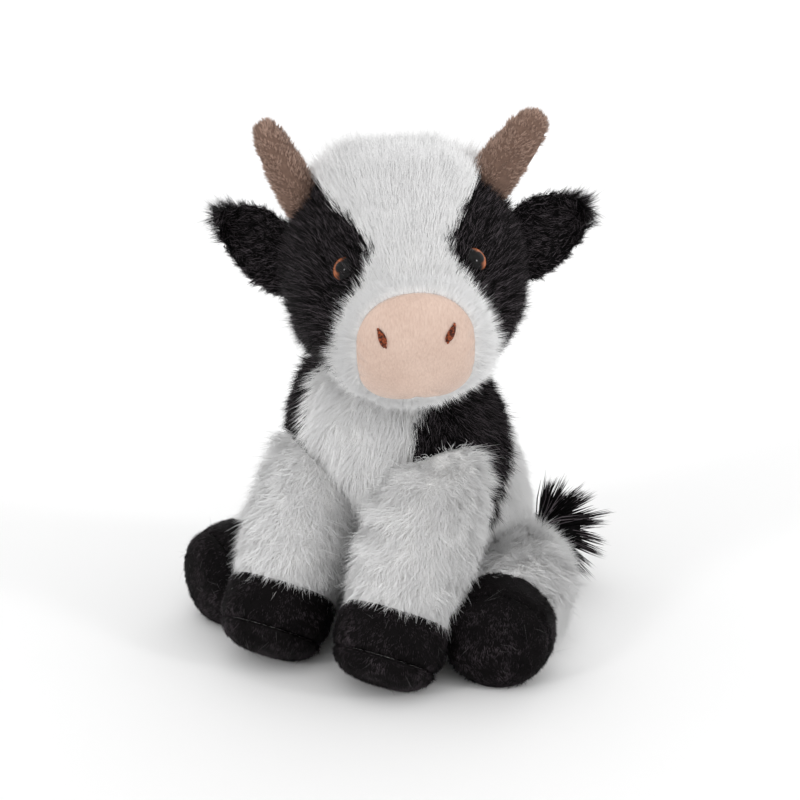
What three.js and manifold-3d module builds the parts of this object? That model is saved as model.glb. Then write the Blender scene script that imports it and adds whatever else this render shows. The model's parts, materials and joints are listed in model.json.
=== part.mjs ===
// A sitting plush cow, 237 mm tall over the horn tips, as it comes apart on a sewing bench: a torso, a
// head and four legs of sewn plush panels over fibre filling, with ears, horns, eyes, hooves and tail.
// Millimetres. X points to the cow's left, Y to its back, Z up. The origin is the middle of its seat.
import * as THREE from "three";
import { mergeVertices } from "three/addons/utils/BufferGeometryUtils.js";
import Module from "manifold-3d";

const wasm = await Module();
wasm.setup();

// Cloth and clearances
const PLUSH = 3; // long-pile plush: backing with its pile pressed down
const VELVET = 2; // short-pile cloth of the hooves
const GAP = 0.3; // between pieces that lie on each other
const SWING_GAP = 0.8; // round the balls that the head and the legs turn on
const FLAT = 0.5; // how far a form is pressed flat where it stands
const REACH = 400; // overrun of every cut

// Torso: a pear, widest above the seat. Heights count up from the floor.
const TORSO_HEIGHT = 132;
const SEAT_HALF_WIDTH = 47;
const BELLY_HALF_WIDTH = 48;
const CHEST_HALF_WIDTH = 50;
const COLLAR_HALF_WIDTH = 48;
const SEAT_HALF_DEPTH = 41;
const BELLY_HALF_DEPTH = 43;
const CHEST_HALF_DEPTH = 41;
const COLLAR_HALF_DEPTH = 40;
const SEAT_BACK = 4; // how far behind the origin the seat's middle lies
const CHEST_FORWARD = 14;
const COLLAR_FORWARD = 23;
const CHEST_SIDE = 4; // how far the chest leans to the cow's right
const COLLAR_SIDE = 2;
const TORSO_SQUARE_SHARES = [0.5, 0.33];

// Pellet pouch in the seat, which gives the toy its low weight
const POUCH_HALF_WIDTH = 20;
const POUCH_HALF_DEPTH = 17;
const POUCH_HALF_HEIGHT = 15;
const POUCH_BACK = 17;
const POUCH_SQUARE_SHARES = [0.09, 0.09];

// Neck: the torso ends in a ball, and the head has a round seat for it
const NECK_RADIUS = 30;
const NECK_SIDE = 3;
const NECK_FORWARD = 16;
const NECK_RISE = 24; // from the neck ball's centre up to the torso form's top
const COLLAR_SHARE = 0.5; // of its radius, above its centre, where the torso's panels end against it
const THREAD = 1.2; // thickness of the drawn-up neck thread
const THREAD_WIDTH = 4;
const THREAD_OUT_SHARE = 0.67; // of the ball's radius, out from its middle

// Head, in its own frame: origin at the middle of the skull, face towards -Y
const HEAD_RISE = 64; // from the neck ball's centre to the skull's
const HEAD_FORWARD = 12; // from the neck ball's centre, and to the side the head looks to
const HEAD_SIDE = 3;
const HEAD_TURN = THREE.MathUtils.degToRad(35);
const HEAD_ROLL = THREE.MathUtils.degToRad(-3);
const SKULL_BACK = 50;
const SKULL_LENGTH = 115;
const NAPE_HALF_WIDTH = 42;
const SKULL_HALF_WIDTH = 48;
const CHEEK_HALF_WIDTH = 45;
const MUZZLE_HALF_WIDTH = 35;
const NAPE_HALF_HEIGHT = 42;
const SKULL_HALF_HEIGHT = 52;
const CHEEK_HALF_HEIGHT = 43;
const MUZZLE_HALF_HEIGHT = 35;
const CHEEK_DROP = 7;
const MUZZLE_DROP = 24;
const HEAD_SQUARE_SHARES = [0.09, 0.41]; // of its back and of its muzzle

// Muzzle pad and nostrils
const PAD_HALF_WIDTH = 24;
const PAD_HALF_HEIGHT = 24;
const PAD_DROP = 17.5;
const PAD_SQUARE_SHARES = [0.09, 0.38]; // of its outline above and below
const NOSTRIL_SIDE = 13.5;
const NOSTRIL_DROP = 10.5;
const NOSTRIL_HALF_WIDTH = 1.5;
const NOSTRIL_HALF_HEIGHT = 4;
const NOSTRIL_PROUD = 0.8;
const NOSTRIL_SQUARE_SHARES = [0, 0];
const NOSTRIL_LEAN = THREE.MathUtils.degToRad(20);

// Black side panels of the head: where their inner edge runs, seen from the front
const PATCH_INNER = 15.5; // nearest to the middle, beside the eye
const PATCH_OUTER = 34; // round the muzzle
const PATCH_HALF_HEIGHT = 62;

// Eyes: moulded buttons on a shank, each locked by a washer inside the head
const EYE_RADIUS = 5.2;
const EYE_DOME = 3.2;
const EYE_SIDE = 25.8;
const EYE_RISE = 13.5;
const SHANK_RADIUS = 1.6;
const SHANK_LENGTH = 8;
const WASHER_RADIUS = 5.5;
const WASHER_THICK = 1.2;
const WASHER_DEEP = 6.5; // below the head's surface

// Horns
const HORN_LENGTH = 46;
const HORN_BASE_RADIUS = 10.5;
const HORN_MIDDLE_RADIUS = 9.5;
const HORN_TIP_RADIUS = 8;
const HORN_SIDE_SHARE = 0.73; // of the skull's half width
const HORN_RISE_SHARE = 0.46; // of its half height
const HORN_ALONG_SHARE = 0.4; // of its length, from the back
const HORN_SQUARE_SHARES = [0.5, 0.29];
const HORN_SPLAY = THREE.MathUtils.degToRad(31.5);
const HORN_LEAN = THREE.MathUtils.degToRad(8); // of both, to the cow's left
const HORN_SHIFT = 2.5; // of both, to its right
const HORN_FLAT_SHARE = 0.75; // thickness over width
const HORN_TWIST = THREE.MathUtils.degToRad(60); // of the right one, about its own axis
const HORN_UNEVEN = 1.5; // that much higher on its left, lower on its right

// Ears: two leaves of plush sewn back to back, cupped towards the face
const EAR_LENGTH = 38;
const EAR_HALF_WIDTH = 16.5;
const EAR_ROOT_SHARE = 0.97; // of the half width at the seam
const EAR_SWELL_SHARE = 0.18; // more than that in the middle
const EAR_TAPER_SHARE = 0.59; // less at the tip
const EAR_CUP = 9;
const EAR_THICK = 2.6; // each leaf
const EAR_RISE = 3.5;
const EAR_BACK = 4;
const EAR_OFF = 0.9; // from the head, so that the ear can flap on its seam
const EAR_LIFT = THREE.MathUtils.degToRad(18);
const EAR_UNEVEN = THREE.MathUtils.degToRad(5); // more lift on the right ear, less on the left
const EAR_SWEEP = THREE.MathUtils.degToRad(22); // backwards, and also that uneven

// Hooves: stuffed caps of short pile with a round sole
const HOOF_HALF_WIDTH = 23;
const HOOF_HALF_HEIGHT = 22.5;
const HOOF_LENGTH = 43;
const HOOF_SQUARE_SHARES = [0.09, 0.33];
const CUFF = 9; // from the hoof's middle back to the seam with the sleeve
const SOLE = 11; // from the hoof's middle forward to the sole's seam

// How far the front legs lift forward, and the hind legs turn outward, from where they are sewn
const FORE_SWING = [0, 12, 25].map(THREE.MathUtils.degToRad);
const HIND_SWING = [0, 15].map(THREE.MathUtils.degToRad);

// All legs
const TOP_SWELL = 1.12; // of the upper end, against the ball
const KNEE_SHARE = 0.5; // of the way from the ball to the hoof
const LEG_SQUARE_SHARES = [0.13, 0.5];

// Front legs
const SHOULDER_RADIUS = 21;
const SHOULDER_SIDE = 29;
const SHOULDER_FORWARD = 34;
const SHOULDER_HEIGHT = 84;
const FORE_KNEE_RADIUS = 22;
const FORE_ANKLE_RADIUS = 19.5;
const FORE_HOOF_SIDE = 29;
const FORE_HOOF_FORWARD = 75;
const FORE_HOOF_DIP = THREE.MathUtils.degToRad(56); // of its sole, below level

// Hind legs
const HIP_RADIUS = 26;
const HIP_SIDE = 46;
const HIP_BACK = 1;
const HIND_KNEE_RADIUS = 23;
const HIND_ANKLE_RADIUS = 20;
const HIND_HOOF_SIDE = 69;
const HIND_HOOF_FORWARD = 49;
const HIND_HOOF_DIP = THREE.MathUtils.degToRad(4);
const LEFT_HOOF_IN = 6; // how much nearer the middle the left one lies
const LEFT_HOOF_BACK = 7; // and how much farther back

// Shoulder patches of the torso: black panels, seen from the side
const PATCH_LOW = 58;
const PATCH_HIGH = 145;
const PATCH_FRONT = 52; // ahead of the origin
const PATCH_BACK = 5; // behind it
const PATCH_CLEAR_LEFT = 23; // nearest to the cow's middle
const PATCH_CLEAR_RIGHT = 31;

// Tail
const TAIL_RADIUS = 5;
const TAIL_SIDE = 9;
const TAIL_HEIGHT = 27;
const TAIL_LENGTH = 24;
const TUFT_LENGTH = 34;
const TUFT_HALF_WIDTH = 20;
const TUFT_HALF_THICK = 9;
const TAIL_HEADING = THREE.MathUtils.degToRad(22); // from straight left towards the back
const STEM_SQUARE_SHARES = [0.33, 0.67];
const TUFT_SQUARE_SHARES = [0.33, 0.5];
const TUFT_ROOT_SHARE = 0.5; // of its width and thickness where it leaves the stem

// How finely the forms are faceted
const BODY_FACETS = { rings: 12, sides: 20, balls: 20 };
const LEG_FACETS = { rings: 7, sides: 14, balls: 20 };
const HOOF_FACETS = { rings: 8, sides: 14 };
const SMALL_FACETS = { rings: 6, sides: 10, balls: 10 };
const INSIDE_FACETS = { rings: 7, sides: 10, balls: 12 };
const ROUND_SIDES = 12;

const colours = {
  white: { color: 0xe9e8e6, roughness: 0.95 },
  black: { color: 0x17161a, roughness: 0.95 },
  hoof: { color: 0x1d1a1c, roughness: 0.85 },
  horn: { color: 0x8b7263, roughness: 0.9 },
  muzzle: { color: 0xe6c4ae, roughness: 0.9 },
  nostril: { color: 0x5c2618, roughness: 0.7 },
  eye: { color: 0x3a1a0e, roughness: 0.08 },
  washer: { color: 0xd8d8d4, roughness: 0.5 },
  thread: { color: 0xd9d7d2, roughness: 0.8 },
  filling: { color: 0xf4f4f2, roughness: 1 },
  pouch: { color: 0xcfc8b8, roughness: 0.9 },
};

const toy = new THREE.Group();
const head = new THREE.Group();
toy.add(head);
const at = (x, y, z) => new THREE.Vector3(x, y, z);

// Solids and meshes

function solidOf(geometry) {
  const bare = geometry.clone();
  for (const name of Object.keys(bare.attributes)) if (name !== "position") bare.deleteAttribute(name);
  const merged = mergeVertices(bare, 1e-4);
  return new wasm.Manifold(
    new wasm.Mesh({
      numProp: 3,
      vertProperties: new Float32Array(merged.attributes.position.array),
      triVerts: new Uint32Array(merged.index.array),
    }),
  );
}

function geometryOf(solid) {
  const mesh = solid.getMesh();
  const geometry = new THREE.BufferGeometry();
  geometry.setAttribute("position", new THREE.BufferAttribute(mesh.vertProperties, 3));
  geometry.setIndex(new THREE.BufferAttribute(mesh.triVerts, 1));
  geometry.computeVertexNormals();
  return geometry;
}

function addPiece(group, name, solid, colour) {
  const mesh = new THREE.Mesh(geometryOf(solid), new THREE.MeshStandardMaterial(colours[colour]));
  mesh.name = name;
  group.add(mesh);
}

// The largest of the bodies that a cut may leave
function largest(solid) {
  return solid.decompose().reduce((a, b) => (b.volume() > a.volume() ? b : a));
}

// Stuffed forms

// The power of a superellipse that is so far from round (0) to square (1)
const powerOf = (square) => 2 / (1 - square);

// How wide a form is at share t of its spine, with its ends as round or square as given
function roundedEnd(t, squares) {
  const power = powerOf(squares[t < 0.5 ? 0 : 1]);
  return Math.pow(1 - Math.pow(Math.abs(2 * t - 1), power), 1 / power);
}

// A form that swells and tapers round a spine. Stations are [centre, half width, half depth], with the
// width along the across direction; grow moves the whole surface outwards. A pressed form starts with
// a flat instead of a round end.
function formGeometry(stations, { across, squares, rings, sides, grow = 0, pressed = false }) {
  const centres = stations.map((s) => s[0].clone());
  const last = centres.length - 1;
  centres[0].add(at(0, 0, 0).subVectors(centres[0], centres[1]).setLength(grow));
  centres[last].add(at(0, 0, 0).subVectors(centres[last], centres[last - 1]).setLength(grow));
  const spine = new THREE.CatmullRomCurve3(centres, false, "catmullrom", 0.5);
  const sizes = stations.map((s) => at(s[1] + grow, s[2] + grow, 0));
  const halves = new THREE.CatmullRomCurve3(sizes, false, "catmullrom", 0.5);
  const share = (i) => (1 - Math.cos((Math.PI * i) / rings)) / 2;
  const start = pressed ? share(1) : 0;
  const points = [spine.getPoint(0)];
  for (let i = 1; i < rings; i++) {
    const t = (share(i) - start) / (1 - start);
    const centre = spine.getPoint(t);
    const along = spine.getTangent(t);
    const wide = across.clone().addScaledVector(along, -across.dot(along)).normalize();
    const deep = at(0, 0, 0).crossVectors(along, wide);
    const half = halves.getPoint(t).multiplyScalar(roundedEnd(share(i), squares));
    for (let j = 0; j < sides; j++) {
      const angle = (2 * Math.PI * j) / sides;
      points.push(
        centre
          .clone()
          .addScaledVector(wide, half.x * Math.cos(angle))
          .addScaledVector(deep, half.y * Math.sin(angle)),
      );
    }
  }
  points.push(spine.getPoint(1));
  const faces = [];
  const ringPoint = (i, j) => 1 + (i - 1) * sides + (j % sides);
  for (let j = 0; j < sides; j++) {
    faces.push(0, ringPoint(1, j + 1), ringPoint(1, j));
    for (let i = 1; i < rings - 1; i++) {
      faces.push(ringPoint(i, j), ringPoint(i, j + 1), ringPoint(i + 1, j));
      faces.push(ringPoint(i, j + 1), ringPoint(i + 1, j + 1), ringPoint(i + 1, j));
    }
    faces.push(points.length - 1, ringPoint(rings - 1, j), ringPoint(rings - 1, j + 1));
  }
  return new THREE.BufferGeometry().setFromPoints(points).setIndex(faces);
}

const form = (stations, options) => solidOf(formGeometry(stations, options));

function ball(centre, radius, { balls }) {
  const sphere = new THREE.SphereGeometry(radius, balls, balls / 2).rotateX(Math.PI / 2);
  return solidOf(sphere.translate(centre.x, centre.y, centre.z));
}

// Everything ahead of a plane through a point, as a block with its near face on that plane
function blockBeyond(point, direction) {
  const block = new THREE.BoxGeometry(REACH, REACH, REACH).translate(0, 0, REACH / 2);
  const turn = new THREE.Quaternion().setFromUnitVectors(at(0, 0, 1), direction.clone().normalize());
  return solidOf(block.applyQuaternion(turn).translate(point.x, point.y, point.z));
}

const floorBlock = blockBeyond(at(0, 0, 0), at(0, 0, -1));

// Torso

const neckCentre = at(NECK_SIDE, -NECK_FORWARD, TORSO_HEIGHT - NECK_RISE);
const torsoStations = [
  [at(0, SEAT_BACK, -FLAT), SEAT_HALF_WIDTH, SEAT_HALF_DEPTH],
  [at(0, SEAT_BACK, TORSO_HEIGHT / 3), BELLY_HALF_WIDTH, BELLY_HALF_DEPTH],
  [at(-CHEST_SIDE, -CHEST_FORWARD, (TORSO_HEIGHT * 2) / 3), CHEST_HALF_WIDTH, CHEST_HALF_DEPTH],
  [at(-COLLAR_SIDE, -COLLAR_FORWARD, TORSO_HEIGHT), COLLAR_HALF_WIDTH, COLLAR_HALF_DEPTH],
];
const torsoShape = { across: at(1, 0, 0), squares: TORSO_SQUARE_SHARES, pressed: true };

// The side of the body that each pair of pieces is on: left is +1
const pair = { left: 1, right: -1 };
const shoulder = (side) => at(side * SHOULDER_SIDE, -SHOULDER_FORWARD, SHOULDER_HEIGHT);
const hip = (side) => at(side * HIP_SIDE, HIP_BACK, HIP_RADIUS - FLAT);

// The torso up to its collar, before the legs' dishes are sunk into it
const collar = neckCentre.clone().add(at(0, 0, COLLAR_SHARE * NECK_RADIUS));
const torsoBody = (grow, facets) =>
  form(torsoStations, { ...torsoShape, grow, ...facets }).subtract(
    blockBeyond(at(0, 0, collar.z + grow), at(0, 0, 1)),
  );

// The torso with its neck ball, less the four dishes that the legs sit in
function torsoForm(grow, facets) {
  let body = torsoBody(grow, facets).add(ball(neckCentre, NECK_RADIUS + grow, facets));
  for (const side of Object.values(pair)) {
    body = body.subtract(ball(shoulder(side), SHOULDER_RADIUS + SWING_GAP - grow, facets));
    body = body.subtract(ball(hip(side), HIP_RADIUS + SWING_GAP - grow, facets));
  }
  return body;
}

const torsoShell = torsoForm(0, BODY_FACETS)
  .subtract(floorBlock)
  .subtract(torsoForm(-PLUSH, INSIDE_FACETS));

// A side view outline of the shoulder patch, as shares of its own length and height
const patchShares = [
  [0.035, 1.0],
  [0.0, 0.62],
  [0.035, 0.39],
  [0.175, 0.18],
  [0.39, 0.045],
  [0.53, 0.0],
  [0.63, 0.07],
  [0.75, 0.25],
  [0.91, 0.44],
  [0.98, 0.62],
  [1.0, 1.0],
];

function patchPrism(side, inset) {
  const long = PATCH_FRONT + PATCH_BACK - 2 * inset;
  const tall = PATCH_HIGH - PATCH_LOW - 2 * inset;
  const outline = patchShares.map(
    ([a, b]) => new THREE.Vector2(-PATCH_FRONT + inset + a * long, PATCH_LOW + inset + b * tall),
  );
  const curve = new THREE.SplineCurve([...outline, outline[0]]);
  const prism = new THREE.ExtrudeGeometry(new THREE.Shape(curve.getPoints(2 * ROUND_SIDES)), {
    depth: REACH,
    bevelEnabled: false,
  });
  // The outline is drawn in the YZ plane and runs out along X
  const turn = new THREE.Matrix4().makeBasis(at(0, 1, 0), at(0, 0, 1), at(1, 0, 0));
  const clear = side > 0 ? PATCH_CLEAR_LEFT : PATCH_CLEAR_RIGHT;
  prism.applyMatrix4(turn).translate(clear + inset, 0, 0);
  return mirrored(prism, side);
}

// A solid on the left side, or its mirror image on the right
function mirrored(geometry, side) {
  const solid = solidOf(geometry);
  return side > 0 ? solid : solid.mirror([1, 0, 0]);
}

function addTorso() {
  let cover = torsoShell;
  for (const [name, side] of Object.entries(pair)) {
    addPiece(toy, `shoulder_patch_${name}`, largest(torsoShell.intersect(patchPrism(side, GAP))), "black");
    cover = cover.subtract(patchPrism(side, 0));
  }
  addPiece(toy, "torso_cover", largest(cover), "white");

  const pouchAt = at(0, POUCH_BACK, PLUSH + GAP + POUCH_HALF_HEIGHT);
  const pouchForm = (grow) =>
    form(
      [-1, 0, 1].map((s) => [
        pouchAt.clone().add(at(s * POUCH_HALF_WIDTH, 0, 0)),
        POUCH_HALF_DEPTH,
        POUCH_HALF_HEIGHT,
      ]),
      { across: at(0, 1, 0), squares: POUCH_SQUARE_SHARES, grow, ...SMALL_FACETS },
    );
  const inside = torsoForm(-PLUSH - GAP, INSIDE_FACETS);
  addPiece(toy, "pellet_pouch", largest(pouchForm(0).intersect(inside)), "pouch");
  // The filling is open below the pouch
  const well = pouchForm(GAP).add(pouchForm(GAP).translate([0, 0, -POUCH_HALF_HEIGHT]));
  addPiece(toy, "torso_filling", largest(inside.subtract(well)), "filling");
}

// Neck thread: a drawn-up band that lies between the torso's ball and the head's seat

function addNeckThread() {
  const inner = NECK_RADIUS + SWING_GAP;
  const outer = inner + THREAD;
  const middle = Math.asin(THREAD_OUT_SHARE);
  const spread = THREAD_WIDTH / NECK_RADIUS / 2;
  const profile = [];
  for (const [radius, angles] of [
    [inner, [middle - spread, middle, middle + spread]],
    [outer, [middle + spread, middle, middle - spread]],
  ])
    for (const angle of angles)
      profile.push(new THREE.Vector2(radius * Math.sin(angle), radius * Math.cos(angle)));
  profile.push(profile[0].clone());
  const band = new THREE.LatheGeometry(profile, BODY_FACETS.balls).rotateX(Math.PI / 2);
  band.translate(neckCentre.x, neckCentre.y, neckCentre.z);
  addPiece(toy, "neck_thread", solidOf(band), "thread");
}

// Head, in its own frame

const headCentre = neckCentre.clone().add(at(HEAD_SIDE, -HEAD_FORWARD, HEAD_RISE));
head.position.copy(headCentre);
head.rotation.set(0, HEAD_ROLL, HEAD_TURN, "ZYX");
head.updateMatrixWorld(true);
const neckInHead = head.worldToLocal(neckCentre.clone());

const headStations = [
  [at(0, SKULL_BACK, 0), NAPE_HALF_WIDTH, NAPE_HALF_HEIGHT],
  [at(0, SKULL_BACK - SKULL_LENGTH / 3, 0), SKULL_HALF_WIDTH, SKULL_HALF_HEIGHT],
  [at(0, SKULL_BACK - (SKULL_LENGTH * 2) / 3, -CHEEK_DROP), CHEEK_HALF_WIDTH, CHEEK_HALF_HEIGHT],
  [at(0, SKULL_BACK - SKULL_LENGTH, -MUZZLE_DROP), MUZZLE_HALF_WIDTH, MUZZLE_HALF_HEIGHT],
];
const headSeatRadius = NECK_RADIUS + THREAD + 2 * SWING_GAP;

function headForm(grow, facets) {
  const skull = form(headStations, { across: at(1, 0, 0), squares: HEAD_SQUARE_SHARES, grow, ...facets });
  return skull.subtract(ball(neckInHead, headSeatRadius - grow, facets));
}

// Where the head's smooth surface is met from a point inside it, going along a direction
const skullPoints = formGeometry(headStations, {
  across: at(1, 0, 0),
  squares: HEAD_SQUARE_SHARES,
  ...BODY_FACETS,
});
skullPoints.computeVertexNormals();
const skullMesh = new THREE.Mesh(skullPoints, new THREE.MeshBasicMaterial({ side: THREE.DoubleSide }));

function onSkull(from, direction) {
  const hit = new THREE.Raycaster(from, direction.clone().normalize()).intersectObject(skullMesh)[0];
  return { point: hit.point, normal: hit.face.normal };
}

// The front view outline of a side panel's inner edge: shares of [from inner to outer edge, height]
const sidePanelShares = [
  [0.84, 1.0],
  [0.84, 0.65],
  [0.73, 0.55],
  [0.35, 0.47],
  [0.05, 0.39],
  [0.0, 0.31],
  [0.08, 0.23],
  [0.27, 0.13],
  [0.51, 0.05],
  [0.7, -0.06],
  [0.81, -0.19],
  [0.84, -0.35],
  [0.73, -0.5],
  [0.46, -0.63],
  [0.24, -1.0],
];

// The space outward of a side panel's inner edge: shaped as above over the face, straight behind
function sidePanelPrism(side, inset) {
  const edge = sidePanelShares.map(
    ([a, b]) =>
      new THREE.Vector2(
        PATCH_INNER + inset + a * (PATCH_OUTER - PATCH_INNER),
        b * PATCH_HALF_HEIGHT,
      ),
  );
  const curve = new THREE.SplineCurve(edge).getPoints(2 * ROUND_SIDES);
  const far = new THREE.Vector2(REACH / 2, PATCH_HALF_HEIGHT);
  const outline = [...curve, new THREE.Vector2(far.x, -far.y), far];
  // The two halves lap by a GAP, so that they join
  const face = new THREE.ExtrudeGeometry(new THREE.Shape(outline), {
    depth: REACH / 2,
    bevelEnabled: false,
  });
  face.rotateX(Math.PI / 2).translate(0, GAP, 0);
  const wide = far.x - PATCH_OUTER - inset;
  const behind = new THREE.BoxGeometry(wide, REACH / 2, 2 * far.y);
  behind.translate(far.x - wide / 2, REACH / 4, 0);
  return mirrored(face, side).add(mirrored(behind, side));
}

// The muzzle pad's outline: round above, flatter below
function padPrism(inset) {
  const outline = [];
  for (let i = 0; i < 2 * ROUND_SIDES; i++) {
    const angle = (Math.PI * i) / ROUND_SIDES;
    const power = powerOf(PAD_SQUARE_SHARES[Math.sin(angle) > 0 ? 0 : 1]);
    const round = (v, size) => Math.sign(v) * Math.pow(Math.abs(v), 2 / power) * (size - inset);
    outline.push(
      new THREE.Vector2(round(Math.cos(angle), PAD_HALF_WIDTH), round(Math.sin(angle), PAD_HALF_HEIGHT)),
    );
  }
  const prism = new THREE.ExtrudeGeometry(new THREE.Shape(outline), { depth: REACH, bevelEnabled: false });
  // It runs forward from behind the pad, and stays clear of the back of the head
  prism.rotateX(Math.PI / 2).translate(0, SKULL_BACK - (SKULL_LENGTH * 2) / 3, -PAD_DROP);
  return solidOf(prism);
}

function eyeMatrix(side) {
  const inside = at(side * EYE_SIDE, 0, EYE_RISE);
  const { point, normal } = onSkull(inside, at(0, -1, 0));
  const turn = new THREE.Quaternion().setFromUnitVectors(at(0, 0, 1), normal);
  return new THREE.Matrix4().compose(point, turn, at(1, 1, 1));
}

function lathe(profile, matrix) {
  const points = profile.map(([r, z]) => new THREE.Vector2(r, z));
  const turned = new THREE.LatheGeometry(points, ROUND_SIDES).rotateX(Math.PI / 2);
  return solidOf(turned.applyMatrix4(matrix));
}

// A button with a domed front on a shank that goes in through the panel
function eyeSolid(side) {
  const profile = [
    [0, -PLUSH - SHANK_LENGTH],
    [SHANK_RADIUS, -PLUSH - SHANK_LENGTH],
    [SHANK_RADIUS, GAP],
    [EYE_RADIUS, GAP],
  ];
  for (let i = 1; i <= 5; i++) {
    const angle = (Math.PI / 2) * (i / 5);
    profile.push([EYE_RADIUS * Math.cos(angle), GAP + EYE_DOME * Math.sin(angle)]);
  }
  profile[profile.length - 1][0] = 0;
  return lathe(profile, eyeMatrix(side));
}

function washerSolid(side) {
  const front = -WASHER_DEEP;
  const bore = SHANK_RADIUS + GAP;
  const profile = [
    [bore, front - WASHER_THICK],
    [WASHER_RADIUS, front - WASHER_THICK],
    [WASHER_RADIUS, front],
    [bore, front],
    [bore, front - WASHER_THICK],
  ];
  return lathe(profile, eyeMatrix(side));
}

// The room that a shank or a washer needs, as a cylinder along the eye's axis
function eyeRoom(side, radius, deep) {
  const profile = [
    [0, -deep],
    [radius, -deep],
    [radius, PLUSH],
    [0, PLUSH],
  ];
  return lathe(profile, eyeMatrix(side));
}

function addHead() {
  const shell = headForm(0, BODY_FACETS).subtract(headForm(-PLUSH, INSIDE_FACETS));
  let blaze = shell.subtract(padPrism(0));
  let filling = headForm(-PLUSH - GAP, INSIDE_FACETS);
  for (const [name, side] of Object.entries(pair)) {
    const shankRoom = eyeRoom(side, SHANK_RADIUS + GAP, PLUSH + SHANK_LENGTH + GAP);
    const washerRoom = eyeRoom(side, WASHER_RADIUS + GAP, WASHER_DEEP + WASHER_THICK + GAP);
    const panel = shell.intersect(sidePanelPrism(side, GAP)).subtract(shankRoom);
    addPiece(head, `head_side_${name}`, largest(panel), "black");
    addPiece(head, `eye_${name}`, eyeSolid(side), "eye");
    addPiece(head, `eye_washer_${name}`, washerSolid(side), "washer");
    blaze = blaze.subtract(sidePanelPrism(side, 0)).subtract(shankRoom);
    filling = filling.subtract(washerRoom).subtract(shankRoom);
  }
  addPiece(head, "head_blaze", largest(blaze), "white");
  addPiece(head, "muzzle_pad", largest(shell.intersect(padPrism(GAP))), "muzzle");
  addPiece(head, "head_filling", largest(filling), "filling");
}

function addNostrils() {
  const skin = headForm(GAP, BODY_FACETS);
  for (const [name, side] of Object.entries(pair)) {
    const inside = at(side * NOSTRIL_SIDE, 0, -NOSTRIL_DROP);
    const { point } = onSkull(inside, at(0, -1, 0));
    const up = at(side * Math.sin(NOSTRIL_LEAN), 0, Math.cos(NOSTRIL_LEAN));
    const stations = [-1, 0, 1].map((s) => [
      point.clone().addScaledVector(up, s * NOSTRIL_HALF_HEIGHT),
      NOSTRIL_HALF_WIDTH,
      NOSTRIL_PROUD + GAP,
    ]);
    const stitch = form(stations, { across: at(1, 0, 0), squares: NOSTRIL_SQUARE_SHARES, ...SMALL_FACETS });
    addPiece(head, `nostril_${name}`, largest(stitch.subtract(skin)), "nostril");
  }
}

function addHorns() {
  const skin = headForm(GAP, BODY_FACETS);
  for (const [name, side] of Object.entries(pair)) {
    const foot = at(
      side * HORN_SIDE_SHARE * SKULL_HALF_WIDTH - HORN_SHIFT,
      SKULL_BACK - HORN_ALONG_SHARE * SKULL_LENGTH,
      HORN_RISE_SHARE * SKULL_HALF_HEIGHT + side * HORN_UNEVEN,
    );
    const splay = side * HORN_SPLAY + HORN_LEAN;
    const up = at(Math.sin(splay), 0, Math.cos(splay));
    const radii = [HORN_BASE_RADIUS, HORN_MIDDLE_RADIUS, HORN_TIP_RADIUS];
    const stations = radii.map((radius, i) => [
      foot.clone().addScaledVector(up, (i / 2) * HORN_LENGTH),
      radius,
      radius * HORN_FLAT_SHARE,
    ]);
    const twist = side > 0 ? 0 : HORN_TWIST;
    const across = at(Math.cos(twist), Math.sin(twist), 0);
    const horn = form(stations, { across, squares: HORN_SQUARE_SHARES, ...SMALL_FACETS });
    addPiece(head, `horn_${name}`, largest(horn.subtract(skin)), "horn");
  }
}

// Ears

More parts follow.
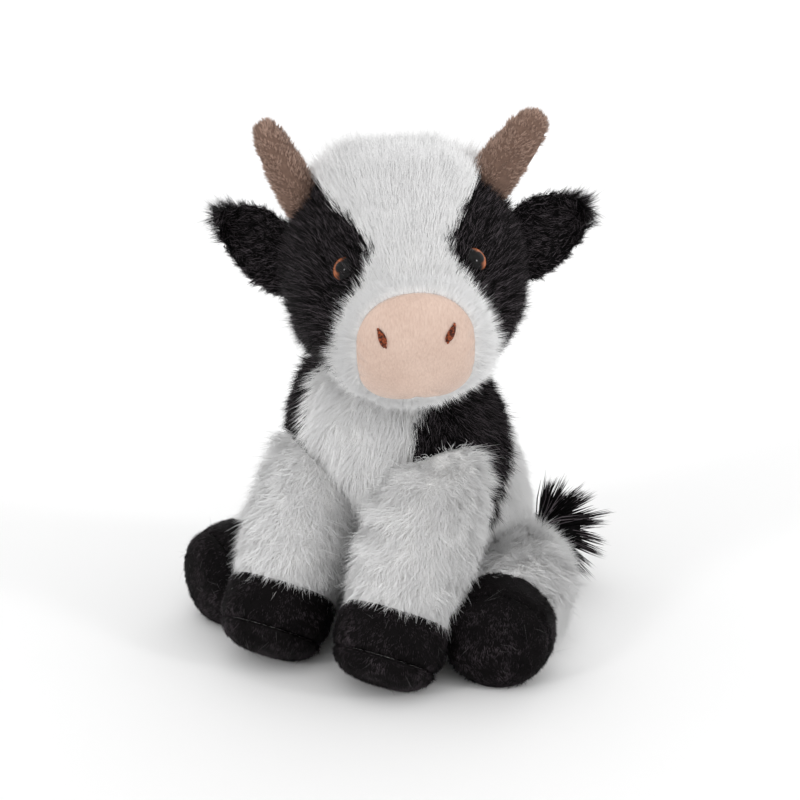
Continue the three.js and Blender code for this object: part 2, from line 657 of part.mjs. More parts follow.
// One leaf: a sheet cupped towards the face, thickest in its middle and closed all round its rim.
// Layer is -1 for the leaf that faces forward and +1 for the back one.
function earLeaf(side, layer) {
  const { point, normal } = onSkull(at(0, EAR_BACK, EAR_RISE), at(side, 0, 0));
  const root = point.clone().addScaledVector(normal, EAR_OFF);
  const up = at(0, 0, 1).addScaledVector(normal, -normal.z).normalize();
  const back = at(0, 0, 0).crossVectors(up, normal).multiplyScalar(side);
  const [sweep, lift] = [EAR_SWEEP, EAR_LIFT].map((angle) => angle - side * EAR_UNEVEN);
  const out = normal.clone().multiplyScalar(Math.cos(sweep)).addScaledVector(back, Math.sin(sweep));
  out.addScaledVector(up, Math.sin(lift)).normalize();
  const [lengthwise, crosswise] = [9, 8];
  const widthAt = (u) => {
    const swell = EAR_SWELL_SHARE * Math.sin(Math.PI * Math.pow(u, 0.8));
    return EAR_HALF_WIDTH * (EAR_ROOT_SHARE + swell - EAR_TAPER_SHARE * Math.pow(u, 3));
  };
  const place = (i, j, outer) => {
    const u = (1 - Math.cos((Math.PI * i) / lengthwise)) / 2;
    const v = -Math.cos((Math.PI * j) / crosswise);
    const body = Math.sqrt((1 - Math.pow(2 * u - 1, 2)) * (1 - v * v));
    const thick = outer ? EAR_THICK * body : 0;
    const cup = -EAR_CUP * v * v * u;
    return root
      .clone()
      .addScaledVector(out, EAR_LENGTH * u)
      .addScaledVector(up, widthAt(u) * v)
      .addScaledVector(back, cup + layer * (GAP / 2 + thick));
  };
  const points = [];
  const faces = [];
  for (const outer of [false, true])
    for (let i = 0; i <= lengthwise; i++)
      for (let j = 0; j <= crosswise; j++) points.push(place(i, j, outer));
  const row = crosswise + 1;
  const sheet = (lengthwise + 1) * row;
  for (let i = 0; i < lengthwise; i++)
    for (let j = 0; j < crosswise; j++) {
      const [a, b, c, d] = [i * row + j, i * row + j + 1, (i + 1) * row + j + 1, (i + 1) * row + j];
      faces.push(a, b, c, a, c, d);
      faces.push(a + sheet, c + sheet, b + sheet, a + sheet, d + sheet, c + sheet);
    }
  const inward = layer * side > 0;
  if (inward) for (let k = 0; k < faces.length; k += 3) [faces[k], faces[k + 1]] = [faces[k + 1], faces[k]];
  const leaf = mergeVertices(new THREE.BufferGeometry().setFromPoints(points).setIndex(faces), 1e-3);
  const index = Array.from(leaf.index.array);
  const solidFaces = [];
  for (let k = 0; k < index.length; k += 3) {
    const [a, b, c] = index.slice(k, k + 3);
    if (a !== b && b !== c && c !== a) solidFaces.push(a, b, c);
  }
  return solidOf(leaf.setIndex(solidFaces));
}

function addEars() {
  for (const [name, side] of Object.entries(pair)) {
    addPiece(head, `ear_front_${name}`, earLeaf(side, -1), "black");
    addPiece(head, `ear_back_${name}`, earLeaf(side, 1), "black");
  }
}

// Legs

// A leg: a ball at its seam with the torso, a sleeve, and a hoof cap with its sole, over one filling.
// It swings about the axis through its ball between the angles of its swing, clear of the torso.
function addLeg(name, { joint, jointRadius, kneeRadius, ankleRadius, hoofAt, dip, axis, swing }) {
  const level = at(hoofAt.x - joint.x, hoofAt.y - joint.y, 0).normalize();
  const down = level.clone().multiplyScalar(Math.cos(dip)).add(at(0, 0, -Math.sin(dip)));
  const across = at(-level.y, level.x, 0);
  const hoofForm = (middle, grow, facets) =>
    formGeometry(
      [-1, 0, 1].map((s) => [
        middle.clone().addScaledVector(down, (s * HOOF_LENGTH) / 2),
        HOOF_HALF_WIDTH,
        HOOF_HALF_HEIGHT,
      ]),
      { across, squares: HOOF_SQUARE_SHARES, grow, ...facets },
    );
  // The hoof stands on the floor, pressed flat where it does
  const loose = hoofForm(hoofAt, 0, HOOF_FACETS);
  loose.computeBoundingBox();
  const middle = hoofAt.clone().setZ(hoofAt.z - loose.boundingBox.min.z - FLAT);
  const hoof = (grow, facets) => solidOf(hoofForm(middle, grow, facets));

  const topRadius = jointRadius * TOP_SWELL;
  const limb = (grow, facets) => {
    let sleeve = form(
      [
        [joint.clone().addScaledVector(down, -jointRadius), topRadius, topRadius],
        [joint.clone().lerp(middle, KNEE_SHARE), kneeRadius, kneeRadius],
        [middle, ankleRadius, ankleRadius],
      ],
      { across, squares: LEG_SQUARE_SHARES, grow, ...facets },
    );
    for (const angle of swing) {
      const turn = new THREE.Matrix4().makeTranslation(joint.x, joint.y, joint.z);
      turn.multiply(new THREE.Matrix4().makeRotationAxis(axis, -angle));
      turn.multiply(new THREE.Matrix4().makeTranslation(-joint.x, -joint.y, -joint.z));
      sleeve = sleeve.subtract(torsoBody(SWING_GAP - grow, BODY_FACETS).transform(turn.elements));
    }
    return sleeve.add(ball(joint, jointRadius + grow, facets));
  };

  const cut = (along) => blockBeyond(middle.clone().addScaledVector(down, along), down);
  const cap = hoof(0, HOOF_FACETS).subtract(floorBlock).subtract(hoof(-VELVET, SMALL_FACETS));
  addPiece(toy, `${name}_sole`, largest(cap.intersect(cut(SOLE))), "hoof");
  addPiece(toy, `${name}_hoof`, largest(cap.intersect(cut(-CUFF)).subtract(cut(SOLE - GAP))), "hoof");
  const sleeve = limb(0, LEG_FACETS).subtract(limb(-PLUSH, SMALL_FACETS)).subtract(cut(-CUFF - GAP));
  addPiece(toy, `${name}_sleeve`, largest(sleeve.subtract(floorBlock)), "white");
  const filling = limb(-PLUSH - GAP, SMALL_FACETS)
    .subtract(cut(0))
    .add(hoof(-VELVET - GAP, SMALL_FACETS).intersect(cut(-CUFF)));
  addPiece(toy, `${name}_filling`, largest(filling), "filling");
}

function hindHoof(side) {
  const drawn = side > 0 ? at(-LEFT_HOOF_IN, LEFT_HOOF_BACK, 0) : at(0, 0, 0);
  return at(side * HIND_HOOF_SIDE, -HIND_HOOF_FORWARD, 0).add(drawn);
}

function addLegs() {
  for (const [name, side] of Object.entries(pair)) {
    addLeg(`front_leg_${name}`, {
      joint: shoulder(side),
      jointRadius: SHOULDER_RADIUS,
      kneeRadius: FORE_KNEE_RADIUS,
      ankleRadius: FORE_ANKLE_RADIUS,
      hoofAt: at(side * FORE_HOOF_SIDE, -FORE_HOOF_FORWARD, 0),
      dip: FORE_HOOF_DIP,
      axis: at(-1, 0, 0),
      swing: FORE_SWING,
    });
    addLeg(`hind_leg_${name}`, {
      joint: hip(side),
      jointRadius: HIP_RADIUS,
      kneeRadius: HIND_KNEE_RADIUS,
      ankleRadius: HIND_ANKLE_RADIUS,
      hoofAt: hindHoof(side),
      dip: HIND_HOOF_DIP,
      axis: at(0, 0, side),
      swing: HIND_SWING,
    });
  }
}

// Tail: a rolled stem with a ball end on the torso's back, and a tuft

function addTail() {
  const torsoMesh = new THREE.Mesh(
    formGeometry(torsoStations, { ...torsoShape, ...BODY_FACETS }),
    new THREE.MeshBasicMaterial({ side: THREE.DoubleSide }),
  );
  const ray = new THREE.Raycaster(at(TAIL_SIDE, 0, TAIL_HEIGHT), at(0, 1, 0));
  const skin = ray.intersectObject(torsoMesh)[0];
  const root = skin.point.clone().addScaledVector(skin.face.normal, TAIL_RADIUS + GAP);
  const heading = at(Math.cos(TAIL_HEADING), Math.sin(TAIL_HEADING), 0);
  const stemEnd = root.clone().addScaledVector(heading, TAIL_LENGTH);
  const tuftAlong = (share) => stemEnd.clone().addScaledVector(heading, GAP + share * TUFT_LENGTH);
  const stem = form(
    [
      [root, TAIL_RADIUS, TAIL_RADIUS],
      [root.clone().lerp(stemEnd, 0.5), TAIL_RADIUS, TAIL_RADIUS],
      [stemEnd, TAIL_RADIUS, TAIL_RADIUS],
    ],
    { across: at(0, 0, 1), squares: STEM_SQUARE_SHARES, ...SMALL_FACETS },
  );
  addPiece(toy, "tail_stem", stem.add(ball(root, TAIL_RADIUS, SMALL_FACETS)), "black");
  const tuft = form(
    [
      [tuftAlong(0), TUFT_HALF_WIDTH * TUFT_ROOT_SHARE, TUFT_HALF_THICK * TUFT_ROOT_SHARE],
      [tuftAlong(0.5), TUFT_HALF_WIDTH, TUFT_HALF_THICK],
      [tuftAlong(1), TUFT_HALF_WIDTH, TUFT_HALF_THICK],
    ],
    { across: at(0, 0, 1), squares: TUFT_SQUARE_SHARES, ...SMALL_FACETS },
  );
  addPiece(toy, "tail_tuft", tuft, "black");
}

addTorso();
addNeckThread();
addHead();
addNostrils();
addHorns();
addEars();
addLegs();
addTail();

export default toy;
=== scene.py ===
"""A sitting plush cow, dressed in the order in which it is put together: torso, head, muzzle, eyes, horns,
ears, legs with their hooves, tail, and then what lies inside. Metres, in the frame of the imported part:
X to the cow's left, Y to its back, Z up.
"""

import collections
import json
import math

import bpy
import numpy as np
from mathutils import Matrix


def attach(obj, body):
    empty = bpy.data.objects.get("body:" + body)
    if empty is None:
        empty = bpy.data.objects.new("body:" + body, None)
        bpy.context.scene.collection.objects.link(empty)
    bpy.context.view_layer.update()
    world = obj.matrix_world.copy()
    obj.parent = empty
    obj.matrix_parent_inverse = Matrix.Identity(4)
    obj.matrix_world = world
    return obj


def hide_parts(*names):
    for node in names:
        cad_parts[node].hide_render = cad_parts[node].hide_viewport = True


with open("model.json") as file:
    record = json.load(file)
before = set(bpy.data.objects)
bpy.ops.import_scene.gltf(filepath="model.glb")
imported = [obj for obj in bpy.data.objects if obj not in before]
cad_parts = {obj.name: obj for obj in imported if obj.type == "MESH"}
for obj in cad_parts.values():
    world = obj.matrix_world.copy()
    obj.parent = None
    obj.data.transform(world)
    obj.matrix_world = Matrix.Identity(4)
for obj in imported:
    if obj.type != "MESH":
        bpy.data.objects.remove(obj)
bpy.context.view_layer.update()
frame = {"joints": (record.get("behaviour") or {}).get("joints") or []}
mm = 0.001

# Torso cover. The pear-shaped body is sewn from white long-pile plush, is stuffed firmly and sits pressed
# flat on its seat. Its pile is 7 to 11 mm long, combed down and lying in small tufts.


def spline(points, share):
    """Catmull-Rom curve at shares of its length in segments: each segment is the cubic whose end slopes
    are half the chords between the neighbours, with the end chords carried on past the ends."""
    points = np.asarray(points, float)
    run = np.vstack([2 * points[:1] - points[1:2], points, 2 * points[-1:] - points[-2:-1]])
    share = np.clip(share, 0, 1) * (len(points) - 1)
    first = np.minimum(share.astype(int), len(points) - 2)
    f = (share - first)[..., None]
    a, b, c, d = (run[first + k] for k in range(4))
    slope, next_slope = (c - a) / 2, (d - b) / 2
    bend = 3 * (c - b) - 2 * slope - next_slope
    return b + slope * f + bend * f**2 + (2 * (b - c) + slope + next_slope) * f**3


def unit(vectors):
    """The vectors, each divided by its own length."""
    return vectors / np.maximum(np.linalg.norm(vectors, axis=-1, keepdims=True), 1e-12)


def eased(steps):
    """Shares from 0 to 1 that lie close together near both."""
    return (1 - np.cos(np.pi * np.arange(steps + 1) / steps)) / 2


def round_angles(sides):
    """So many angles, evenly round a circle."""
    return 2 * np.pi * np.arange(sides) / sides


def circled(wide, deep, turn):
    """Rings of unit offsets, one for each pair of wide and deep directions."""
    turn = turn[:, None]
    return wide[..., None, :] * np.cos(turn) + deep[..., None, :] * np.sin(turn)


def on_floor(points, floor=0.0):
    """The points, none of them lower than the floor."""
    return np.concatenate([points[..., :2], np.maximum(points[..., 2:], floor)], axis=-1)


class Form:
    """A stuffed form that swells and tapers round a spine. Its point at a share of the spine and an angle
    is the spine's place plus half width times cosine across and half depth times sine, both narrowed to
    the ends by (1 - |2 share - 1|^p)^(1/p), where p grows from 2 as an end gets squarer. A pressed form
    starts flat."""

    pressed_share = (1 - math.cos(math.pi / 12)) / 2
    base_rings = 6
    slices, slice_half = 240, 2 * mm

    def __init__(self, stations, across, squares, pressed=False):
        self.centres = np.array([s[0] for s in stations], float)
        self.halves = np.array([s[1:] for s in stations], float)
        self.across = np.array(across, float)
        self.squares = squares
        self.start = self.pressed_share if pressed else 0.0

    def frames(self, share, grow=0.0):
        """Centre, along, wide and deep directions and both half sizes at each share of the spine."""
        centres = self.centres.copy()
        centres[0] += grow * unit(centres[0] - centres[1])
        centres[-1] += grow * unit(centres[-1] - centres[-2])
        t = (share - self.start) / (1 - self.start)
        step = 1e-4
        along = unit(spline(centres, np.minimum(t + step, 1)) - spline(centres, np.maximum(t - step, 0)))
        wide = unit(self.across - along * (along @ self.across)[..., None])
        power = 2 / (1 - np.where(share < 0.5, *self.squares))
        narrow = np.clip(1 - np.abs(2 * share - 1) ** power, 0, 1) ** (1 / power)
        half = spline(self.halves + grow, t) * narrow[..., None]
        return spline(centres, t), along, wide, np.cross(along, wide), half

    def at(self, share, angle, grow=0.0):
        """Points of the skin, or of one that lies outside it by grow."""
        share, angle = np.broadcast_arrays(share, angle)
        centre, _, wide, deep, half = self.frames(share, grow)
        over = wide * (half[..., :1] * np.cos(angle)[..., None])
        return centre + over + deep * (half[..., 1:] * np.sin(angle)[..., None])

    def grid(self, rings, sides, grow=0.0):
        """Rings close together near the ends, and a flat base below them on a pressed form."""
        share = self.start + eased(rings) * (1 - self.start)
        points = self.at(share[:, None], round_angles(sides), grow)
        if self.start:
            middle = points[0].mean(0)
            inner = np.linspace(0, 1, self.base_rings + 1)[:-1, None, None]
            points = np.concatenate([middle + (points[0] - middle) * inner, points])
        return points

    def reach(self, points, clear=0.0):
        """How far out each point lies as a share of the form's own half size there, below 1 inside, and
        its offset from the spine. Where the form has no width, every point is outside."""
        centre, along, wide, deep, half = self.frames(np.linspace(self.start, 1, self.slices))
        flat = points.reshape(-1, 3)
        ahead = np.abs(np.einsum("nkc,kc->nk", flat[:, None] - centre, along))
        nearest = ahead.argmin(1)
        offset = flat - centre[nearest]
        size = half[nearest] + clear
        over, under = ((offset * way[nearest]).sum(1) for way in (wide, deep))
        with np.errstate(divide="ignore", invalid="ignore"):
            share = np.hypot(over / size[:, 0], under / size[:, 1])
        beyond_ends = ahead[np.arange(len(flat)), nearest] > self.slice_half
        share = np.where(beyond_ends, 9.0, share)
        return share.reshape(points.shape[:-1]), offset.reshape(points.shape)

    def press_out(self, points, clear):
        """Moves points that lie inside the form, or nearer than clear, straight out onto that skin."""
        share, offset = self.reach(points, clear)
        pushed = points + offset * (1 / np.clip(share, 0.05, 1) - 1)[..., None]
        return np.where((share < 1)[..., None], pushed, points)


def sheet_of(grid, around=True):
    """Points and faces of a grid, closed around or open. Rows drawn to one point become a pole."""
    rows, columns = grid.shape[:2]
    index = np.arange(rows * columns).reshape(rows, columns)
    for r in (0, rows - 1):
        if np.ptp(grid[r], axis=0).max() < 1e-7:
            index[r] = index[r, 0]
    nxt = np.roll(index, -1, axis=1) if around else index[:, 1:]
    here = index if around else index[:, :-1]
    faces = np.stack([here[:-1], nxt[:-1], nxt[1:], here[1:]], axis=-1).reshape(-1, 4)
    return grid.reshape(-1, 3), faces


def put(name, data):
    """A new object in the scene."""
    made = bpy.data.objects.new(name, data)
    bpy.context.scene.collection.objects.link(made)
    return made


def make_piece(name, surface, body, slot, material, replaces=(), thick=0.0, fill=0.0, **layers):
    """Makes a mesh piece from points and four-cornered faces. A face whose corners repeat becomes a
    triangle, and thick makes a shell of a sheet, inwards. Fill is not used.
    Layers are a value per point: uv, or normal for the shading."""
    points, faces = surface
    used, lookup = np.unique(faces, return_inverse=True)
    faces = lookup.reshape(faces.shape)
    points = points[used]
    keep = faces != np.roll(faces, -1, axis=1)
    whole = keep.sum(1) >= 3
    faces, keep = faces[whole], keep[whole]
    corners = faces[keep]
    sizes = keep.sum(1)
    mesh = bpy.data.meshes.new(name)
    mesh.vertices.add(len(points))
    mesh.vertices.foreach_set("co", points.astype(np.float32).ravel())
    mesh.loops.add(len(corners))
    mesh.loops.foreach_set("vertex_index", corners.astype(np.int32))
    mesh.polygons.add(len(sizes))
    mesh.polygons.foreach_set("loop_start", (np.cumsum(sizes) - sizes).astype(np.int32))
    mesh.update(calc_edges=True)
    if "uv" in layers:
        layer = mesh.uv_layers.new(name="OFBake")
        layer.uv.foreach_set("vector", layers["uv"][used][corners].astype(np.float32).ravel())
    mesh.shade_smooth()
    if "normal" in layers:
        soft = mesh.attributes.new("custom_normal", "FLOAT_VECTOR", "POINT")
        soft.data.foreach_set("vector", layers["normal"][used].astype(np.float32).ravel())
    piece = put(name, mesh)
    mesh.materials.append(material)
    if thick:
        shell = piece.modifiers.new("shell", "SOLIDIFY")
        shell.thickness, shell.offset = thick, -1
    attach(piece, body)
    if replaces:
        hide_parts(*replaces)
    return piece


class Value:
    """A shader socket. Sums on it add the Math nodes that work them out."""

    def __init__(self, tree, socket):
        self.tree, self.socket = tree, socket

    def feed(self, slot):
        """Links this socket into another."""
        self.tree.links.new(self.socket, slot)

    def maths(self, operation, first, second):
        """A Math node on two values or plain numbers."""
        node = self.tree.nodes.new("ShaderNodeMath")
        node.operation = operation
        feed_all(((node.inputs[0], first), (node.inputs[1], second)))
        return Value(self.tree, node.outputs[0])

    def __add__(self, other):
        return self.maths("ADD", self, other)

    __radd__ = __add__

    def __sub__(self, other):
        return self.maths("SUBTRACT", self, other)

    def __rsub__(self, other):
        return self.maths("SUBTRACT", other, self)

    def __mul__(self, other):
        return self.maths("MULTIPLY", self, other)

    __rmul__ = __mul__

    def __pow__(self, other):
        return self.maths("POWER", self, other)

    def above(self, edge, soft):
        """0 below the edge and 1 above it, over a soft width."""
        rise = (self - edge) * (1 / soft) + 0.5
        return self.maths("MINIMUM", self.maths("MAXIMUM", rise, 0), 1)


def feed_all(pairs):
    """Links each socket to its Value, or sets it to its plain value."""
    for slot, value in pairs:
        if isinstance(value, Value):
            value.feed(slot)
        else:
            slot.default_value = (*value, 1) if slot.type == "RGBA" else value


class Nodes:
    """A node tree under way. node() adds any other node from its type, settings and socket values."""

    def __init__(self, tree):
        self.tree = tree

    def node(self, kind, settings=None, inputs=None, out=0):
        """One output of a new node, whose settings are made before its sockets are fed."""
        made = self.tree.nodes.new("ShaderNode" + kind)
        for name, value in (settings or {}).items():
            setattr(made, name, value)
        feed_all((made.inputs[name], value) for name, value in (inputs or {}).items())
        return Value(self.tree, made.outputs[out])


class Finish(Nodes):
    """A material under way."""

    def __init__(self, name, **even):
        self.material = bpy.data.materials.new(name)
        self.material.use_nodes = True
        super().__init__(self.material.node_tree)
        self.shader = self.tree.nodes["Principled BSDF"]
        self.set(**even)

    def set(self, **sockets):
        """Values and links of the surface shader, by socket name with _ for a space."""
        feed_all((self.shader.inputs[name.replace("_", " ")], value) for name, value in sockets.items())

    def split(self, vector):
        """The three parts of a vector."""
        parts = self.node("SeparateXYZ", {}, {0: vector}).socket.node.outputs
        return [Value(self.tree, part) for part in parts]

    def mix(self, share, first, second):
        """The first colour where share is 0, the second where it is 1."""
        return self.node("Mix", {"data_type": "RGBA"}, {0: share, 6: first, 7: second}, 2)

    def noise(self, scale, detail, distortion=0.0, stretch=None):
        """Noise from 0 to 1 over the place in the object, which stretch multiplies first."""
        where = self.node("TexCoord", out="Object")
        if stretch:
            where = self.node("Mapping", {}, {"Vector": where, "Scale": stretch})
        sizes = {"Scale": scale, "Detail": detail, "Distortion": distortion}
        return self.node("TexNoise", {}, {"Vector": where, **sizes})

    def bump(self, height, distance):
        """Relief in the shading, as high as height times distance."""
        self.set(Normal=self.node("Bump", {}, {"Height": height, "Distance": distance, "Strength": 1.0}))


def shade(colour, gain):
    """The colour times gain, no part of it above 1."""
    return tuple(min(part * gain, 1) for part in colour)


def mottled(name, dark, light, grain, relief, cloud=None, shares=(1, 1), **even):
    """A material whose colour and relief go up and down together, by a fine grain and a coarser cloud.
    Shares are the grain's part in the colour and in the relief, and the cloud has the rest."""
    finish = Finish(name, **even)
    fine = finish.noise(*grain)
    coarse = finish.noise(*cloud) if cloud else None
    colour, height = (fine if s == 1 else fine * s + coarse * (1 - s) for s in shares)
    finish.set(Base_Color=finish.mix(colour, dark, light))
    finish.bump(height, relief)
    return finish.material


def strands(name, deep, tip, vary, painted_glint=0.0, painted_sheen=0.0, **even):
    """The material of pile. Its map runs across the tones of a batch of fibre, from 0 to 1, and up each
    strand from the backing to the tip, so painted shade darkens it to the depth of the pile, and every
    strand has a tone of its own. About one strand in five is made lighter by a painted glint, and clouds of
    painted sheen make the cloth lighter."""
    finish = Finish(name, Sheen_Roughness=0.5, **even)
    batch, up, _ = finish.split(finish.node("UVMap", {"uv_map": "OFBake"}))
    across = {"W": batch, "Scale": 40.0, "Detail": 3.0}
    tone = finish.node("TexNoise", {"noise_dimensions": "1D"}, across)
    # Painted shade: each strand darkens from its tip colour down to the deep colour at the backing.
    colour = finish.mix(up**0.7, deep, tip)
    colour = finish.mix((tone - 0.5) * (2 * vary) + 0.5 * vary, colour, shade(deep, 0.55))
    # Painted glints: about one strand in five is made much lighter.
    if painted_glint:
        colour = finish.mix(tone.above(0.59, 0.05) * painted_glint, colour, shade(tip, 40))
    # Painted sheen: the cloth is made lighter in clouds.
    if painted_sheen:
        cloud = finish.noise(75.0, 5.0).above(0.53, 0.16)
        colour = finish.mix(cloud * painted_sheen, colour, shade(tip, 20))
    finish.set(Base_Color=colour)
    return finish.material


def backing(name, colour, pore):
    """The knitted backing that pile stands on: rows of small loops, seen only where the pile parts."""
    return mottled(
        name, shade(colour, pore), colour, (900.0, 2.0), 0.4 * mm, (60.0, 3.0), (0.6, 1),
        Roughness=0.95, Specular_IOR_Level=0.1,
    )


Cloth = collections.namedtuple("Cloth", "slot backing pile")
white_plush = Cloth(
    "white_plush",
    # The backing is painted darker than its pile, as painted shade where the pile parts.
    backing("white_plush_backing", (0.80, 0.795, 0.785), 0.92),
    strands(
        "white_pile", (0.95, 0.945, 0.94), (0.97, 0.97, 0.97), 0.02,
        Roughness=0.9, Specular_IOR_Level=0.2, Sheen_Weight=0.3,
    ),
)
black_plush = Cloth(
    "black_plush",
    backing("black_plush_backing", (0.005, 0.0045, 0.005), 0.5),
    strands(
        # Painted shade darkens the roots, and the 0.9 gives painted glints on about one strand in five.
        "black_pile", (0.0008, 0.0006, 0.0007), (0.0035, 0.003, 0.0033), 0.5, 0.9,
        Roughness=0.45, Specular_IOR_Level=0.05,
    ),
)


def scatter(points, faces, count, random):
    """So many places spread evenly by area over four-cornered faces, with the smooth normal at each."""
    triangles = np.concatenate([faces[:, [0, 1, 2]], faces[:, [0, 2, 3]]])
    a, b, c = (points[triangles[:, k]] for k in range(3))
    across = np.cross(b - a, c - a)
    area = np.linalg.norm(across, axis=1)
    normals = np.zeros_like(points)
    for k in range(3):
        np.add.at(normals, triangles[:, k], across)
    normals = unit(normals)
    a, b, c = triangles[random.choice(len(triangles), count, p=area / area.sum())].T
    u, v = random.random((2, count, 1))
    over = u + v > 1
    u, v = np.where(over, 1 - u, u), np.where(over, 1 - v, v)
    places, facing = (at[a] * (1 - u - v) + at[b] * u + at[c] * v for at in (points, normals))
    return places, unit(facing)


def spikes(root, middle, tip, aside, width, tones, soft, lean):
    """Closed three-sided strands: a ring at the root, one at the middle unless it is None, and a point at
    the tip, with the corners of a ring at width from the strand's line. Soft is how far the lean, which
    is the skin's normal, shades the strands like the pile as a whole. Returns points, faces, uv and
    normals."""
    along = unit(tip - root)
    wide = unit(aside - along * (aside * along).sum(1, keepdims=True))
    ring = circled(wide, np.cross(along, wide), round_angles(3))
    width = np.broadcast_to(width, len(root))[:, None, None]
    rows, heights = [root[:, None] + ring * width], [0.0]
    if middle is not None:
        rows.append(middle[:, None] + ring * width * 0.8)
        heights.append(0.5)
    rows.append(tip[:, None])
    heights.append(1.0)
    points = np.concatenate(rows, axis=1)
    levels = len(rows) - 1
    top, pole = 3 * (levels - 1), 3 * levels
    pairs = ((0, 1), (1, 2), (2, 0))
    sides = [[r + a, r + b, r + 3 + b, r + 3 + a] for a, b in pairs for r in range(0, top, 3)]
    sides += [[top + a, top + b, pole, pole] for a, b in pairs] + [[2, 1, 0, 0]]
    faces = (np.arange(len(root))[:, None, None] * (pole + 1) + np.array(sides)).reshape(-1, 4)
    up = np.concatenate([np.repeat(heights[:-1], 3), heights[-1:]])
    corner_apart, tones_span = 0.002, 0.994
    side_share = np.concatenate([np.tile([0.0, 1.0, 2.0], levels), [1.0]]) * corner_apart
    uv = np.stack(np.broadcast_arrays(tones[:, None] * tones_span + side_share, up), axis=-1)
    lean = unit(lean - (1 - 0.75 * soft) * along * (lean * along).sum(1, keepdims=True))
    outward = unit(np.concatenate([ring] * levels + [along[:, None]], axis=1))
    normal = unit(outward * (1 - soft) + lean[:, None] * soft)
    return points.reshape(-1, 3), faces, uv.reshape(-1, 2), normal.reshape(-1, 3)


def drift(points, size, seed):
    """A smooth wandering direction: five sine waves about size long, each pushing its own way."""
    random = np.random.default_rng(seed)
    waves = unit(random.standard_normal((5, 3))) * (2 * np.pi / size * random.uniform(0.6, 1.5, (5, 1)))
    push = np.sin(points @ waves.T + random.uniform(0, 6.3, 5))
    return push @ unit(random.standard_normal((5, 3))) * 0.6


def make_pile(
    name, surface, body, cloth, seed, tufts, each, length, radius, comb,
    lean=35, curl=0.5, spread=1.6 * mm, pull=0.4, ragged=8, bent=False, soft=0.8, keep=None,
    swirl=0.25, swirl_size=22 * mm, stray=0.08, lit_from=(0, 0, 0),
):
    """The pile of a sheet. Tufts are scattered by area. In each, strands lean from the normal towards the
    comb's direction, which wanders smoothly, curl over to their tips and draw together there. Length, comb
    and lean, in degrees, are even or depend on the place. Lit from leans the soft shading one way, for
    pile that stands up evenly round a hollow."""
    root_sunk, above_floor, tuft_uneven, strand_uneven = 0.5 * mm, 0.4 * mm, 0.1, 0.16
    random = np.random.default_rng(seed)
    middle, normal = scatter(*surface, tufts, random)
    if keep is not None:
        chosen = keep(middle)
        middle, normal = middle[chosen], normal[chosen]
    reach, comb, lean = (part(middle) if callable(part) else part for part in (length, comb, lean))
    wander = drift(middle, swirl_size, seed + 500)
    way = unit(comb) + swirl * wander
    way = unit(way - normal * (way * normal).sum(1, keepdims=True))
    side = np.cross(normal, way)
    count = len(middle)
    tilt = np.radians(lean + ragged * random.standard_normal(count) + 10 * wander[:, 0])[:, None]
    yaw = np.radians(ragged * 1.6 * random.standard_normal(count))[:, None]
    way = way * np.cos(yaw) + side * np.sin(yaw)
    side = np.cross(normal, way)
    first = normal * np.cos(tilt) + way * np.sin(tilt)
    second = unit(first + curl * way)
    reach = reach * (1 + tuft_uneven * random.standard_normal(count) + 0.12 * wander[:, 1])
    shape = (count, each)
    out = spread * np.sqrt(random.random(shape))[..., None]
    angle = 2 * np.pi * random.random(shape)[..., None]
    off = out * (np.cos(angle) * way[:, None] + np.sin(angle) * side[:, None])
    own = (reach[:, None] * (1 + strand_uneven * random.standard_normal(shape)))[..., None]
    astray = random.standard_normal((*shape, 3)) * own * stray
    root = middle[:, None] + off - normal[:, None] * root_sunk
    bend = middle[:, None] + off * (1 - 0.4 * pull) + first[:, None] * own * 0.5 + astray * 0.4
    tip = middle[:, None] + off * (1 - pull) + (first + second)[:, None] * own * 0.5 + astray
    root, bend, tip = (on_floor(place, above_floor).reshape(-1, 3) for place in (root, bend, tip))
    tones = np.repeat(random.random(count), each) * 0.5 + random.random(count * each) * 0.5
    width = radius * (0.75 + 0.5 * random.random(count * each))
    side, facing = (np.repeat(ways, each, axis=0) for ways in (side, normal))
    points, faces, uv, shading = spikes(
        root, bend if bent else None, tip, side, width, tones, soft, unit(facing + np.array(lit_from))
    )
    make_piece(name, (points, faces), body, cloth.slot, cloth.pile, uv=uv, normal=shading)


def make_skin(part, surface, body, cloth, thick=0.0, fill=0.0):
    """The sewn cloth of a part, in place of that part's own solid."""
    return make_piece(f"{part}_skin", surface, body, cloth.slot, cloth.backing, [part], thick, fill)


torso_height = 132 * mm
flat_press = 0.5 * mm
torso = Form(
    [
        ((0, 4 * mm, -flat_press), 47 * mm, 41 * mm),
        ((0, 4 * mm, torso_height / 3), 48 * mm, 43 * mm),
        ((-4 * mm, -14 * mm, torso_height * 2 / 3), 50 * mm, 41 * mm),
        ((-2 * mm, -23 * mm, torso_height), 48 * mm, 40 * mm),
    ],
    across=(1, 0, 0), squares=(0.5, 0.33), pressed=True,
)
neck_radius = 30 * mm
neck_centre = np.array([3 * mm, -16 * mm, 108 * mm])
collar = neck_centre[2] + 0.5 * neck_radius
plush_thick = 3 * mm
hoof_half_width, hoof_half_height, hoof_length = 23 * mm, 22.5 * mm, 43 * mm
legs = {
    "front": dict(
        joint=(29 * mm, -34 * mm, 84 * mm), radius=21 * mm, knee=22 * mm, ankle=19.5 * mm,
        hoof=(29 * mm, -75 * mm), dip=56, axis=(-1, 0, 0), swing=(0, 12, 25),
    ),
    "hind": dict(
        joint=(46 * mm, 1 * mm, 25.5 * mm), radius=26 * mm, knee=23 * mm, ankle=20 * mm,
        hoof=(69 * mm, -49 * mm), dip=4, axis=(0, 0, 1), swing=(0, 15),
    ),
}
both_sides = (("left", 1), ("right", -1))


